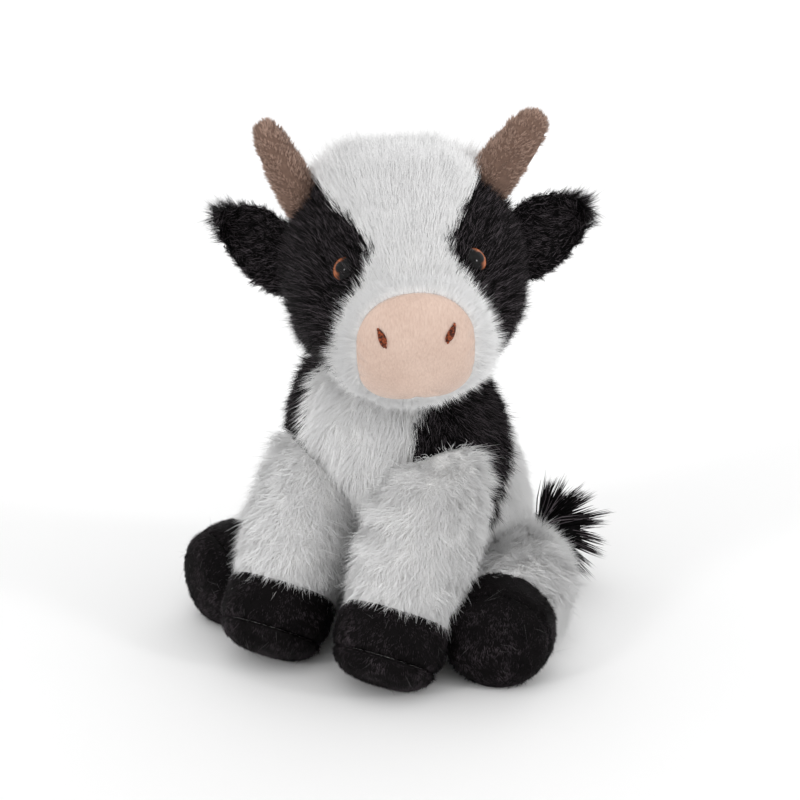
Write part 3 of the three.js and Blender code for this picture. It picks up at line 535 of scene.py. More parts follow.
class Leg:
    """Where one leg is sewn on, which way it points, and its two stuffed forms, limb and hoof. The hoof is
    lowered until it rests on the floor, pressed in a little."""

    left_hind_nearer = (-6 * mm, 7 * mm, 0)

    def __init__(self, end_name, side):
        leg = legs[end_name]
        mirror = np.array([side, 1, 1])
        self.joint = np.array(leg["joint"]) * mirror
        hoof_at = np.array([*leg["hoof"], 0]) * mirror
        if end_name == "hind" and side > 0:
            hoof_at += self.left_hind_nearer
        self.axis = np.array(leg["axis"], float) * (1 if end_name == "front" else side)
        level = unit((hoof_at - self.joint) * (1, 1, 0))
        dip = math.radians(leg["dip"])
        self.down = level * math.cos(dip) - np.array([0, 0, math.sin(dip)])
        self.across = np.array([-level[1], level[0], 0])
        self.swings = [math.radians(degrees) for degrees in leg["swing"]]
        lowest = self.hoof_form(hoof_at).grid(8, 14)[..., 2].min()
        self.middle = hoof_at - np.array([0, 0, lowest + flat_press])
        self.hoof = self.hoof_form(self.middle)
        top = leg["radius"] * 1.12
        self.limb = Form(
            [
                (self.joint - self.down * leg["radius"], top, top),
                ((self.joint + self.middle) / 2, leg["knee"], leg["knee"]),
                (self.middle, leg["ankle"], leg["ankle"]),
            ],
            self.across, (0.13, 0.5),
        )

    def hoof_form(self, middle):
        """The hoof: a straight form through its middle, squarer at the sole."""
        ends = (middle + self.down * hoof_length * k / 2 for k in (-1, 0, 1))
        stations = [(end, hoof_half_width, hoof_half_height) for end in ends]
        return Form(stations, self.across, (0.09, 0.33))

    def swung(self, points, angle):
        """The points turned with the leg about its joint."""
        rel = points - self.joint
        along = (rel @ self.axis)[..., None] * self.axis
        turned = rel * math.cos(angle) + np.cross(self.axis, rel) * math.sin(angle)
        return self.joint + turned + along * (1 - math.cos(angle))

    def inside_torso(self, shares, turn, clear, grow=0.0):
        """The torso's reach at points of the limb, the least over its swings, and for each way round the
        last of the shares that lies inside."""
        wall = self.limb.at(shares[:, None], turn, grow)
        level = np.min([torso.reach(self.swung(wall, a), clear)[0] for a in self.swings], axis=0)
        after = len(shares) - 1 - np.argmax((level < 1)[::-1], axis=0)
        return level, np.where((level < 1).any(0), after, 0)

    def wall_steps(self, shares, start, before_hoof, rows):
        """Shares from the seam at the torso to a row that lies so far before the hoof's middle."""
        past = (self.limb.frames(shares)[0] - self.middle) @ self.down
        hem = float(np.interp(-before_hoof, past, shares))
        return start + (hem - start) * np.linspace(0, 1, rows + 1)[:, None]

    def cap(self, rim, rows, clear):
        """The end against the torso: it spans the rim and is pressed out of the torso at each swing."""
        middle = rim.mean(0)
        cap = middle + (rim - middle) * np.linspace(0, 1, rows + 1)[:-1, None, None]
        for a in self.swings:
            cap = self.swung(torso.press_out(self.swung(cap, a), clear), -a)
        cap[0] = cap[0].mean(0)
        return cap


placed_legs = {
    f"{end_name}_leg_{side_name}": Leg(end_name, side)
    for end_name in legs
    for side_name, side in both_sides
}


def off_legs(points):
    """True outside every leg's own form, where the torso's pile has room."""
    return np.min([leg.limb.reach(points)[0] for leg in placed_legs.values()], axis=0) > 1


def near_legs(points):
    """1 at the seams of the front legs, fading over about 25 mm."""
    tops = [placed_legs[f"front_leg_{side_name}"].joint for side_name, _ in both_sides]
    nearest = np.min([np.linalg.norm(points - top, axis=-1) for top in tops], axis=0)
    return np.exp(-((np.maximum(nearest - 18 * mm, 0) / (14 * mm)) ** 2))


def neck_dome(points, radius):
    """Distance from the neck's axis, and how high a ball of this radius at the neck reaches there."""
    out = np.hypot(points[..., 0] - neck_centre[0], points[..., 1] - neck_centre[1])
    return out, neck_centre[2] + np.sqrt(np.maximum(radius**2 - out**2, 0))


def necked(points, grow=0.0):
    """Everything above the collar is drawn down to it, except the ball under the head."""
    out, ball = neck_dome(points, neck_radius + grow)
    level = collar + grow
    top = np.where(out < neck_radius + grow, np.maximum(level, ball), level)
    shaped = points.copy()
    shaped[..., 2] = np.where(points[..., 2] > level, top, np.maximum(points[..., 2], 0))
    return shaped


def parted(grid, value):
    """Splits a closed grid where value, worked out at its points, changes sign. Points next to the line
    move onto it, so each side gets a clean edge. Returns the faces of both sides, above and below 0."""
    at_points = value(grid)
    moved, snapped = grid.copy(), np.zeros(at_points.shape, bool)
    for axis, step in ((0, 1), (0, -1), (1, 1), (1, -1)):
        beyond, there = np.roll(at_points, step, axis), np.roll(grid, step, axis)
        share = at_points / np.where(at_points == beyond, 1, at_points - beyond)
        crosses = (at_points * beyond < 0) & (share <= 0.5) & ~snapped
        crosses[[0, -1]] = False
        moved = np.where(crosses[..., None], grid + (there - grid) * share[..., None], moved)
        snapped |= crosses
    points, faces = sheet_of(moved)
    weight = np.where(snapped, 0, at_points).ravel()[faces].sum(1)
    return points, faces[weight > 0], faces[weight <= 0]


def outlined(places, outline):
    """Distance of points in a plane from a closed outline, positive inside."""
    flat = places.reshape(-1, 2)
    nearest = np.full(len(flat), np.inf)
    inside = np.zeros(len(flat), bool)
    for start, end in zip(outline, np.roll(outline, -1, axis=0)):
        edge = end - start
        share = np.clip(((flat - start) @ edge) / (edge @ edge), 0, 1)
        nearest = np.minimum(nearest, np.linalg.norm(flat - start - share[:, None] * edge, axis=1))
        straddles = (start[1] > flat[:, 1]) != (end[1] > flat[:, 1])
        rise = np.where(edge[1] == 0, 1, edge[1])
        inside ^= straddles & (flat[:, 0] < start[0] + (flat[:, 1] - start[1]) * edge[0] / rise)
    return (np.where(inside, 1, -1) * nearest).reshape(places.shape[:-1])


patch_low, patch_high, patch_front, patch_back = 58 * mm, 145 * mm, -52 * mm, 5 * mm
patch_clear_left, patch_clear_right = 23 * mm, 31 * mm
patch_shares = [
    (0.035, 1), (0, 0.62), (0.035, 0.39), (0.175, 0.18), (0.39, 0.045), (0.53, 0), (0.63, 0.07),
    (0.75, 0.25), (0.91, 0.44), (0.98, 0.62), (1, 1),
]
patch_size = (patch_back - patch_front, patch_high - patch_low)
patch_corners = np.array(patch_shares) * patch_size + (patch_front, patch_low)
patch_outline = spline(np.vstack([patch_corners, patch_corners[:1]]), np.linspace(0, 1, 56)[:-1])


def on_patch(points):
    """Above 0 on the shoulder patches: inside the outline seen from the side, and out from the middle,
    where the left one reaches farther round the chest."""
    x = points[..., 0]
    out = np.where(x > 0, x - patch_clear_left, -x - patch_clear_right)
    return np.minimum(outlined(points[..., 1:], patch_outline), out)


torso_points, patch_faces, cover_faces = parted(necked(torso.grid(64, 96)), on_patch)
torso_cover = (torso_points, cover_faces)
make_skin("torso_cover", torso_cover, "torso", white_plush, plush_thick, 0.85)
downward = np.array([0.0, 0.0, -1.0])
chest_back = neck_centre[1] + 6 * mm
under_head = 23.5 * mm


def torso_length(points):
    """Longest over the seams of the front legs, which it hides, and short on the neck ball."""
    on_ball = np.clip((points[:, 2] - collar) / (1 * mm) + 1, 0, 1)
    return (7 + 4 * near_legs(points)) * mm * (1 - 0.45 * on_ball)


def off_torso_ends(points):
    """Pile is worked only where it can show: not under the seat, and not above the neck's thread."""
    out, _ = neck_dome(points, neck_radius)
    on_show = (points[:, 2] > 3 * mm) & ((points[:, 2] < collar - 1 * mm) | (out > under_head))
    return on_show & off_legs(points)


for number, (part, half) in enumerate((("front", 1), ("back", -1))):
    make_pile(
        f"torso_cover_{part}_pile", torso_cover, "torso", white_plush, seed=1 + number,
        tufts=9000, each=10, length=torso_length, radius=0.13 * mm, comb=downward, lean=55,
        spread=3 * mm, pull=0.1, soft=0.97, swirl=0.3, ragged=5,
        keep=lambda points: off_torso_ends(points) & ((chest_back - points[:, 1]) * half > 0),
    )

# Shoulder patches. Two black panels of the same plush are let into the torso's sides, from under the head
# down behind the front legs, edge to edge with the white.
for side_name, side in both_sides:
    patch = (torso_points, patch_faces[torso_points[patch_faces, 0].mean(1) * side > 0])
    part = f"shoulder_patch_{side_name}"
    make_skin(part, patch, "torso", black_plush, plush_thick, 0.85)
    make_pile(
        f"{part}_pile", patch, "torso", black_plush, seed=4 + side,
        tufts=1700, each=10, length=7 * mm, radius=0.16 * mm, comb=downward, lean=48,
        spread=2.2 * mm, soft=0.35, ragged=12, keep=off_torso_ends,
    )

# Head. A stuffed ball of the same plush that sits in a dish on the neck. A white blaze goes over the crown,
# round the muzzle and under the chin, and a black panel is sewn in down each side. The pile is combed back
# from the muzzle, short on the face and longer on the crown and round the jaw.
head_middle = neck_centre + np.array([3 * mm, -12 * mm, 64 * mm])
head_turn, head_roll = math.radians(35), math.radians(-3)
turn_cos, turn_sin = math.cos(head_turn), math.sin(head_turn)
roll_cos, roll_sin = math.cos(head_roll), math.sin(head_roll)
turned = np.array([[turn_cos, -turn_sin, 0], [turn_sin, turn_cos, 0], [0, 0, 1]])
rolled = np.array([[roll_cos, 0, roll_sin], [0, 1, 0], [-roll_sin, 0, roll_cos]])
head_axes = turned @ rolled


def from_head(points):
    """From the head's own frame, face towards -Y, to where it is turned on the neck."""
    return points @ head_axes.T + head_middle


def to_head(points):
    """From the toy's frame back to the head's own."""
    return (points - head_middle) @ head_axes


skull_back, skull_length = 50 * mm, 115 * mm
skull_half_width, skull_half_height = 48 * mm, 52 * mm
skull = Form(
    [
        ((0, skull_back, 0), 42 * mm, 42 * mm),
        ((0, skull_back - skull_length / 3, 0), skull_half_width, skull_half_height),
        ((0, skull_back - skull_length * 2 / 3, -7 * mm), 45 * mm, 43 * mm),
        ((0, skull_back - skull_length, -24 * mm), 35 * mm, 35 * mm),
    ],
    across=(1, 0, 0), squares=(0.09, 0.41),
)
head_seat_radius = neck_radius + 1.2 * mm + 2 * 0.8 * mm


def seated(points, clear=0.0):
    """The head's underside is dished where the neck ball sits in it. Points are in the toy's frame."""
    out, roof = neck_dome(points, head_seat_radius + clear)
    in_seat = (out < head_seat_radius + clear) & (points[..., 2] < roof)
    dished = points.copy()
    dished[..., 2] = np.where(in_seat, roof, points[..., 2])
    return dished


pad_half_width, pad_half_height, pad_drop = 24 * mm, 24 * mm, 17.5 * mm


def on_pad(points):
    """Above 0 inside the muzzle pad's outline, seen from the front: a superellipse, squarer below."""
    across, up = points[..., 0] / pad_half_width, (points[..., 2] + pad_drop) / pad_half_height
    power = 2 / (1 - np.where(up > 0, 0.09, 0.38))
    return 1 - (np.abs(across) ** power + np.abs(up) ** power) ** (1 / power)


def pad_edge(angle):
    """The share of the skull's spine at which the pad's outline is met, by halving the span between."""
    low, high = np.full(angle.shape, 0.6), np.full(angle.shape, 0.9999)
    for _ in range(30):
        half = (low + high) / 2
        within = on_pad(skull.at(half, angle)) > 0
        low, high = np.where(within, low, half), np.where(within, half, high)
    return half


head_angles = round_angles(112)
edge_share = pad_edge(head_angles)
head_grid = skull.at(eased(72)[:, None] * edge_share, head_angles)
panel_inner, panel_outer, panel_half_height = 15.5 * mm, 34 * mm, 62 * mm
panel_shares = [
    (0.84, 1), (0.84, 0.65), (0.73, 0.55), (0.35, 0.47), (0.05, 0.39), (0, 0.31), (0.08, 0.23),
    (0.27, 0.13), (0.51, 0.05), (0.7, -0.06), (0.81, -0.19), (0.84, -0.35), (0.73, -0.5), (0.46, -0.63),
    (0.24, -1),
]
panel_edge = spline(panel_shares, np.linspace(0, 1, 80))[::-1]


def on_side_panel(points):
    """Above 0 outward of the side panels' inner edge: shaped over the face, straight behind."""
    share = np.interp(points[..., 2] / panel_half_height, panel_edge[:, 1], panel_edge[:, 0])
    over_face = panel_inner + share * (panel_outer - panel_inner)
    behind = np.clip(points[..., 1] / (8 * mm) + 0.5, 0, 1)
    return np.abs(points[..., 0]) - over_face * (1 - behind) - panel_outer * behind


head_local, side_faces, blaze_faces = parted(head_grid, on_side_panel)
head_points = seated(from_head(head_local))
blaze = (head_points, blaze_faces)
make_skin("head_blaze", blaze, "head", white_plush, plush_thick, 0.9)
nose = from_head(skull.at(np.array(1.0), np.array(0.0)))
facing = head_axes @ (0, -1, 0)


def from_nose(points):
    """Combed away from the nose, a little down on the lower half, and straight down behind."""
    drop = np.clip((head_middle[2] - 10 * mm - points[:, 2]) / (40 * mm), 0, 1) * 0.5
    behind = np.clip(to_head(points)[:, 1] / (30 * mm), 0, 1)
    return unit(points - nose) - (drop + 1.5 * behind)[:, None] * np.array([0, 0, 1])


def off_neck(points):
    """True where the head's skin isn't dished for the neck ball."""
    out, roof = neck_dome(points, head_seat_radius)
    return (out > head_seat_radius) | (points[:, 2] > roof + 0.3 * mm)


def blaze_length(points):
    """Longest on the crown's corners, the right one most, and round the jaw, shortest between the eyes."""
    x, _, z = to_head(points).T
    aside = x / (22 * mm)
    crown = np.clip((z - 20 * mm) / (25 * mm), 0, 1)
    crown = crown * np.clip(np.maximum(aside, -1.4 * aside), 0.5, 1.6)
    jaw = np.clip((-10 * mm - z) / (15 * mm), 0, 1)
    return (4.6 + 7.4 * crown + 3.9 * jaw) * mm


def cheek_length(points):
    """Short on the face, longer out on the cheeks and by the inner side of each eye, half over it."""
    x, _, z = to_head(points).T
    out = np.abs(x)
    by_eye = np.exp(-((out - 20 * mm) ** 2 + (z - 14 * mm) ** 2) / (5.5 * mm) ** 2)
    return (4.4 + 2.6 * np.clip((out - 30 * mm) / (12 * mm), 0, 1) + 2.4 * by_eye) * mm


for number, (part, half, lean, lit) in enumerate((("face", -1, 52, 0.25), ("crown", 1, 36, 0))):
    make_pile(
        f"head_blaze_{part}_pile", blaze, "head", white_plush, seed=10 + number,
        tufts=11000, each=8, length=blaze_length, radius=0.13 * mm, comb=from_nose, lean=lean,
        spread=2.4 * mm, pull=0.08, soft=0.98, ragged=4, swirl=0.1, lit_from=lit * facing,
        keep=lambda points: off_neck(points) & (to_head(points)[:, 1] * half > 0),
    )
for side_name, side in both_sides:
    panel = (head_points, side_faces[head_local[side_faces, 0].mean(1) * side > 0])
    part = f"head_side_{side_name}"
    make_skin(part, panel, "head", black_plush, plush_thick, 0.9)
    make_pile(
        f"{part}_pile", panel, "head", black_plush, seed=13 + side,
        tufts=2900, each=10, length=cheek_length, radius=0.16 * mm, comb=from_nose, lean=38,
        spread=1.9 * mm, pull=0.5, soft=0.35, ragged=11, keep=off_neck,
    )
make_pile(
    "head_blaze_fringe", sheet_of(seated(from_head(head_grid[-5:]))), "head", white_plush, seed=12,
    tufts=1200, each=9, length=7 * mm, radius=0.14 * mm, comb=from_nose, lean=62,
    spread=1.5 * mm, pull=0.8, soft=0.55, stray=0.1, ragged=9, lit_from=0.6 * facing,
)

# Muzzle pad. One piece of peach velvet with a fine upright nap, stuffed a little proud of the face and
# turned under all round at its seam.


def stuffed(grid, held, ease, most):
    """A stuffed cover: cloth cut larger than its pattern by ease, held at its seams and pressed out
    from inside until it settles. No point moves more than most."""
    scene = bpy.context.scene
    enlarged, pressure, frames = 10, 4, 20
    points, faces = sheet_of(grid)
    used, lookup = np.unique(faces, return_inverse=True)
    rows = [list(dict.fromkeys(face)) for face in lookup.reshape(faces.shape).tolist()]
    mesh = bpy.data.meshes.new("cover")
    mesh.from_pydata((points[used] * enlarged).tolist(), [], rows)
    cover = put("cover", mesh)
    seams = cover.vertex_groups.new(name="seams")
    seams.add(np.flatnonzero(held.reshape(-1)[used]).tolist(), 1, "REPLACE")
    cloth = cover.modifiers.new("cloth", "CLOTH")
    cloth.settings.vertex_group_mass = "seams"
    cloth.settings.shrink_min = -ease
    cloth.settings.use_pressure = True
    cloth.settings.uniform_pressure_force = pressure
    cloth.settings.effector_weights.gravity = 0
    cloth.point_cache.frame_end = frames
    for step in range(1, frames + 1):
        scene.frame_set(step)
    settled = np.empty(len(used) * 3, np.float32)
    result = cover.evaluated_get(bpy.context.evaluated_depsgraph_get())
    result.data.vertices.foreach_get("co", settled)
    bpy.data.objects.remove(cover)
    scene.frame_set(1)
    moved = settled.reshape(-1, 3) / enlarged - points[used]
    far = np.linalg.norm(moved, axis=1, keepdims=True)
    index = np.arange(len(points))
    if np.ptp(grid[-1], axis=0).max() < 1e-7:
        index[-grid.shape[1]:] = index[-grid.shape[1]]
    shift = np.zeros_like(points)
    shift[used] = moved * np.minimum(1, most / np.maximum(far, 1e-9))
    return (points + shift[index]).reshape(grid.shape)


pad_rings = 26
pad_in = np.arange(pad_rings + 1) / pad_rings
pad_share = edge_share + (1 - edge_share) * (1 - (1 - pad_in[:, None]) ** 1.6)
pad_grid = skull.at(pad_share, head_angles)
pad_round = np.roll(pad_grid, -1, 1) - np.roll(pad_grid, 1, 1)
pad_normal = unit(np.cross(pad_round, np.gradient(pad_grid, axis=0)))
pad_normal[-1] = (0, -1, 0)
pad_puff, pad_turned_under = 2.2 * mm, 0.5 * mm
puff = pad_puff * (1 - (1 - np.clip(pad_in * 3.2, 0, 1)) ** 2.4) - pad_turned_under * (pad_in == 0)
pad_grid = from_head(pad_grid + pad_normal * puff[:, None, None])
pad_held = np.zeros(pad_grid.shape[:2], bool)
pad_held[:2] = True
pad_grid = stuffed(pad_grid, pad_held, ease=0.04, most=1.5 * mm)
velvet = mottled(
    "muzzle_velvet", (0.45, 0.295, 0.23), (0.83, 0.65, 0.55), (1400.0, 3.0, 0.0, (1, 1, 0.35)), 0.6 * mm,
    (70.0, 3.0), (0.65, 0.7), Roughness=0.85, Sheen_Weight=0.4, Sheen_Roughness=0.4,
)
make_skin("muzzle_pad", sheet_of(pad_grid), "head", Cloth("muzzle_cloth", velvet, None), 2 * mm, 0.8)

# Nostrils. Each is a drop of satin stitch in rust-brown thread, worked slantwise through the pad with the
# threads side by side.


def on_skull(inside, direction):
    """Where a ray from inside meets the skull, as the nearest of many points of its surface to the ray's
    line, and the skull's normal there."""
    rows, columns = 400, 480
    share, angle = np.meshgrid(np.linspace(0, 1, rows), np.linspace(0, 2 * np.pi, columns), indexing="ij")
    points = skull.at(share, angle)
    offset = points - inside
    ahead = offset @ direction
    apart = np.linalg.norm(offset - ahead[..., None] * direction, axis=-1) + np.where(ahead > 0, 0, 1)
    i, j = np.unravel_index(apart.argmin(), apart.shape)
    i, j = min(max(i, 1), rows - 2), min(max(j, 1), columns - 2)
    normal = unit(np.cross(points[i, j + 1] - points[i, j - 1], points[i + 1, j] - points[i - 1, j]))
    return points[i, j], normal * np.sign(normal @ direction)


def thread_tubes(starts, ends, rise, lift, radius, steps=8, sides=6):
    """Stitches: each goes from start to end in an arch of height rise along lift, as a closed tube."""
    share = np.linspace(0, 1, steps + 1)
    line = starts[:, None] * (1 - share)[:, None] + ends[:, None] * share[:, None]
    line = line + lift * (rise * np.sin(np.pi * share) ** 0.6)[:, None]
    along = unit(np.gradient(line, axis=1))
    aside = unit(np.cross(along, lift))
    fat = radius * np.sqrt(np.clip(1 - (2 * share - 1) ** 8, 0, 1))
    ring = circled(aside, np.cross(along, aside), round_angles(sides))
    tubes = line[:, :, None] + ring * fat[:, None, None]
    _, one = sheet_of(tubes[0])
    faces = (np.arange(len(starts))[:, None, None] * (steps + 1) * sides + one).reshape(-1, 4)
    return tubes.reshape(-1, 3), faces


pad_local = to_head(pad_grid).reshape(-1, 3)


def onto_pad(points):
    """Moves points in the head's frame, seen from the front, onto the pad: the mean depth of its four
    nearest grid points, weighted by how near they are."""
    apart = np.linalg.norm(points[:, None, ::2] - pad_local[:, ::2], axis=-1) + 0.05 * mm
    nearest = np.argsort(apart, axis=1)[:, :4]
    weight = 1 / np.take_along_axis(apart, nearest, 1)
    moved = points.copy()
    moved[:, 1] = (pad_local[nearest, 1] * weight).sum(1) / weight.sum(1)
    return moved


stitch = Finish("nostril_thread", Roughness=0.45, Specular_IOR_Level=0.2)
# One noise gives the twisted thread its relief and turns its colour from dark rust to orange, as painted
# highlights on the satin.
twist_and_highlight = stitch.noise(1100.0, 2.0)
stitch.set(Base_Color=stitch.mix(twist_and_highlight.above(0.52, 0.2), (0.035, 0.006, 0.002), (0.33, 0.07, 0.022)))
stitch.bump(twist_and_highlight, 0.15 * mm)
forward = np.array([0.0, -1.0, 0.0])
nostril_out, nostril_up, nostril_lean = 13.5 * mm, -10.5 * mm, math.radians(20)
stitch_count, nostril_half_width, nostril_half_height = 13, 1.6 * mm, 3.6 * mm
stitch_rise, stitch_radius, stitch_proud = 0.6 * mm, 0.46 * mm, 0.15 * mm
for side_name, side in both_sides:
    middle, normal = on_skull(np.array([side * nostril_out, 0, nostril_up]), forward)
    lean = nostril_lean * side
    up = np.array([math.sin(lean), 0, math.cos(lean)])
    up = unit(up - normal * (up @ normal))
    share = np.linspace(-1, 1, stitch_count)
    drop = np.clip(1 - share**2, 0, 1) ** 0.6 * (1 - 0.32 * share)
    reach = np.cross(up, normal) * (nostril_half_width * drop + 0.15 * mm)[:, None] + up * 0.9 * mm
    places = middle + up * (share * nostril_half_height)[:, None]
    starts, ends = (onto_pad(places + k * reach) + normal * stitch_proud for k in (-1, 1))
    arch, arch_faces = thread_tubes(starts, ends, rise=stitch_rise, lift=normal, radius=stitch_radius)
    make_piece(
        f"nostril_{side_name}_stitches", (from_head(arch), arch_faces), "head", "embroidery",
        stitch.material, [f"nostril_{side_name}"],
    )

# Eyes. Moulded buttons with a copper iris ring round a wide dark pupil under a polished dome. The shank
# goes through the black panel, and the washer inside locks it.
eye_out, eye_up = 25.8 * mm, 13.5 * mm
eye_radius, eye_dome, eye_sides = 5.2 * mm, 3.2 * mm, 48
shank_radius, shank_end, rim_back = 1.6 * mm, -11 * mm, -0.6 * mm
pupil_edge, iris_edge = 0.48, 0.94
iris = Finish("moulded_eye", Roughness=0.04, Specular_IOR_Level=0.2)
aside, raised, _ = iris.split(iris.node("UVMap", {"uv_map": "OFBake"}))
aside, raised = aside - 0.5, raised - 0.5
from_middle = (aside * aside + raised * raised) ** 0.5 * 2
around_eye = aside.maths("ARCTAN2", raised, aside)
fanned = iris.node("CombineXYZ", {}, {0: around_eye * 9, 1: from_middle * 2})
streaks = {"Vector": fanned, "Scale": 1.0, "Detail": 3.0}
streaks = iris.node("TexNoise", {"noise_dimensions": "2D"}, streaks)
copper = iris.mix(streaks, (0.05, 0.007, 0.002), (0.75, 0.23, 0.085))
iris_ring = from_middle.above(pupil_edge, 0.16) * (1 - from_middle.above(iris_edge, 0.05))
crescent = iris_ring * aside.above(0.03, 0.2)
iris.set(Base_Color=iris.mix(crescent, (0.0015, 0.001, 0.001), copper))
bend = np.linspace(0, np.pi / 2, 16)
dome = np.stack([eye_radius * np.cos(bend), 0.3 * mm + eye_dome * np.sin(bend)], axis=1)
dome[-1, 0] = 0
back_of_eye = [(0, shank_end), (shank_radius, shank_end), (shank_radius, rim_back)]
profile = np.array([*back_of_eye, (eye_radius * 0.96, rim_back), *dome])
around = round_angles(eye_sides)
for side_name, side in both_sides:
    foot, normal = on_skull(np.array([side * eye_out, 0, eye_up]), forward)
    wide = unit(np.cross(normal, (0.0, 0.0, 1.0)))
    ring = circled(wide, np.cross(normal, wide), around)
    height = foot + normal * 0.5 * mm + profile[:, 1:, None] * normal
    eye_grid = from_head(height + profile[:, :1, None] * ring)
    radial = profile[:, :1] / eye_radius / 2
    uv = np.stack([0.5 - side * radial * np.cos(around), 0.5 + radial * np.sin(around)], axis=-1)
    make_piece(
        f"eye_{side_name}_button", sheet_of(eye_grid[:, ::-1]), "head", "eye", iris.material,
        [f"eye_{side_name}"], uv=uv[:, ::-1].reshape(-1, 2),
    )

# Horns. Taupe short-pile cloth in fine slanting rows, stuffed and sewn upright on the crown at the corners
# of the blaze.
horn_length, horn_flat, horn_radii = 46 * mm, 0.75, (10.5 * mm, 9.5 * mm, 8 * mm)
horn_out, horn_up, horn_behind = 0.73 * skull_half_width, 0.46 * skull_half_height, 0.4 * skull_length
horn_splay, right_horn_twist = math.radians(31.5), math.radians(60)
horns_lean_right, horns_move_right, left_horn_higher = math.radians(8), 2.5 * mm, 1.5 * mm
row_count, row_climb, row_ripple, row_gap = 11, 13 * mm, 3 * mm, 0.3
horn_cloth = Cloth(
    "horn_cloth",
    # The backing is painted dark brown, as painted shade in the gaps between the rows of nap.
    mottled(
        "horn_backing", (0.09, 0.05, 0.036), (0.24, 0.15, 0.11), (500.0, 3.0), 0.3 * mm,
        Roughness=0.95,
    ),
    strands(
        # Painted shade darkens each strand from its light tip to the dark deep colour at the backing.
        "horn_pile", (0.17, 0.10, 0.072), (0.95, 0.66, 0.53), 0.8,
        Roughness=0.8, Specular_IOR_Level=0.2, Sheen_Weight=0.1,
    ),
)
for side_name, side in both_sides:
    across, up = side * horn_out - horns_move_right, horn_up + side * left_horn_higher
    foot = np.array([across, skull_back - horn_behind, up])
    splay = side * horn_splay + horns_lean_right
    up = np.array([math.sin(splay), 0, math.cos(splay)])
    twisted = 0 if side > 0 else right_horn_twist
    horn = Form(
        [(foot + up * horn_length * k / 2, r, r * horn_flat) for k, r in enumerate(horn_radii)],
        (math.cos(twisted), math.sin(twisted), 0), (0.5, 0.29),
    )

    def in_rows(points):
        """True off the head and on the rows of the nap, which climb the horn a little aslant."""
        rel = to_head(points) - foot
        high = rel @ up
        around = np.arctan2(rel @ np.cross(up, horn.across), rel @ horn.across)
        ripple = 0.35 * np.sin(high / row_ripple + 2 * around)
        phase = around * row_count / (2 * np.pi) + high / row_climb + ripple
        return (skull.reach(to_head(points))[0] > 1) & (phase % 1 > row_gap)

    surface = sheet_of(from_head(horn.grid(40, 40)))
    make_skin(f"horn_{side_name}", surface, "head", horn_cloth, fill=0.8)
    make_pile(
        f"horn_{side_name}_pile", surface, "head", horn_cloth, seed=20 + side,
        tufts=3400, each=5, length=1.9 * mm, radius=0.13 * mm, comb=head_axes @ up, lean=42,
        spread=0.5 * mm, pull=0.6, soft=0.5, ragged=12, keep=in_rows,
    )

# Ears. Two leaves of black plush sewn back to back, cupped towards the face, with long pile that runs out
# past the tip in tufts.
ear_length, ear_half_width, ear_cup, ear_thick = 38 * mm, 16.5 * mm, 9 * mm, 2.6 * mm
ear_behind, ear_up, ear_off_skull = 4 * mm, 3.5 * mm, 0.9 * mm
ear_sweep, ear_lift, ear_uneven = math.radians(22), math.radians(18), math.radians(5)
pile_pressed = 2 * mm
for side_name, side in both_sides:
    seam, normal = on_skull(np.array([0, ear_behind, ear_up]), np.array([float(side), 0, 0]))
    seam = seam + normal * ear_off_skull
    up = unit(np.array([0, 0, 1]) - normal * normal[2])
    back = np.cross(up, normal) * side
    sweep, lift = ear_sweep - side * ear_uneven, ear_lift - side * ear_uneven
    out = unit(normal * math.cos(sweep) + back * math.sin(sweep) + up * math.sin(lift))
    u = eased(30)[:, None]
    v = -np.cos(np.pi * np.arange(27) / 26)[None]
    half = ear_half_width * (0.97 + 0.18 * np.sin(np.pi * u**0.8) - 0.59 * u**3) - pile_pressed * 0.7
    bulge = np.sqrt(np.clip((1 - (2 * u - 1) ** 2) * (1 - v**2), 0, 1))
    lengthwise = out * ((ear_length - pile_pressed) * u + 0 * v)[..., None]
    flat = seam + lengthwise + up * (half * v)[..., None]

    def ear_pile_length(points):
        """Short, but longer towards the tip and the lower rim, where it runs out in tufts."""
        rel = to_head(points) - seam
        along = rel @ out / ear_length
        lower = np.clip(-(rel @ up) / ear_half_width - 0.4, 0, 1) * np.clip(along, 0, 1)
        return (3.2 + 8 * np.clip(along - 0.66, 0, 1) / 0.34 + 6.5 * lower) * mm

    for leaf, layer in (("front", -1), ("back", 1)):
        sheets = []
        for thick in (ear_thick, 0):
            away = -ear_cup * v * v * u + layer * (0.15 * mm + thick * bulge)
            sheets.append(sheet_of(from_head(flat + back * away[..., None]), around=False))
        (outer, outer_faces), (inner, inner_faces) = sheets
        if layer * side > 0:
            inner_faces = inner_faces[:, ::-1]
        else:
            outer_faces = outer_faces[:, ::-1]
        both = np.concatenate([outer, inner]), np.concatenate([outer_faces, inner_faces + len(outer)])
        part, body = f"ear_{leaf}_{side_name}", f"ear_{side_name}"
        weld = make_skin(part, both, body, black_plush).modifiers.new("seam", "WELD")
        weld.merge_threshold = 0.05 * mm
        make_pile(
            f"{part}_pile", (outer, outer_faces), body, black_plush, seed=30 + 2 * side + layer,
            tufts=700, each=10, length=ear_pile_length, radius=0.15 * mm,
            comb=lambda points: head_axes @ out + 0.3 * unit(points - from_head(seam)), lean=44,
            spread=1.8 * mm, pull=0.85, soft=0.35, ragged=18,
        )

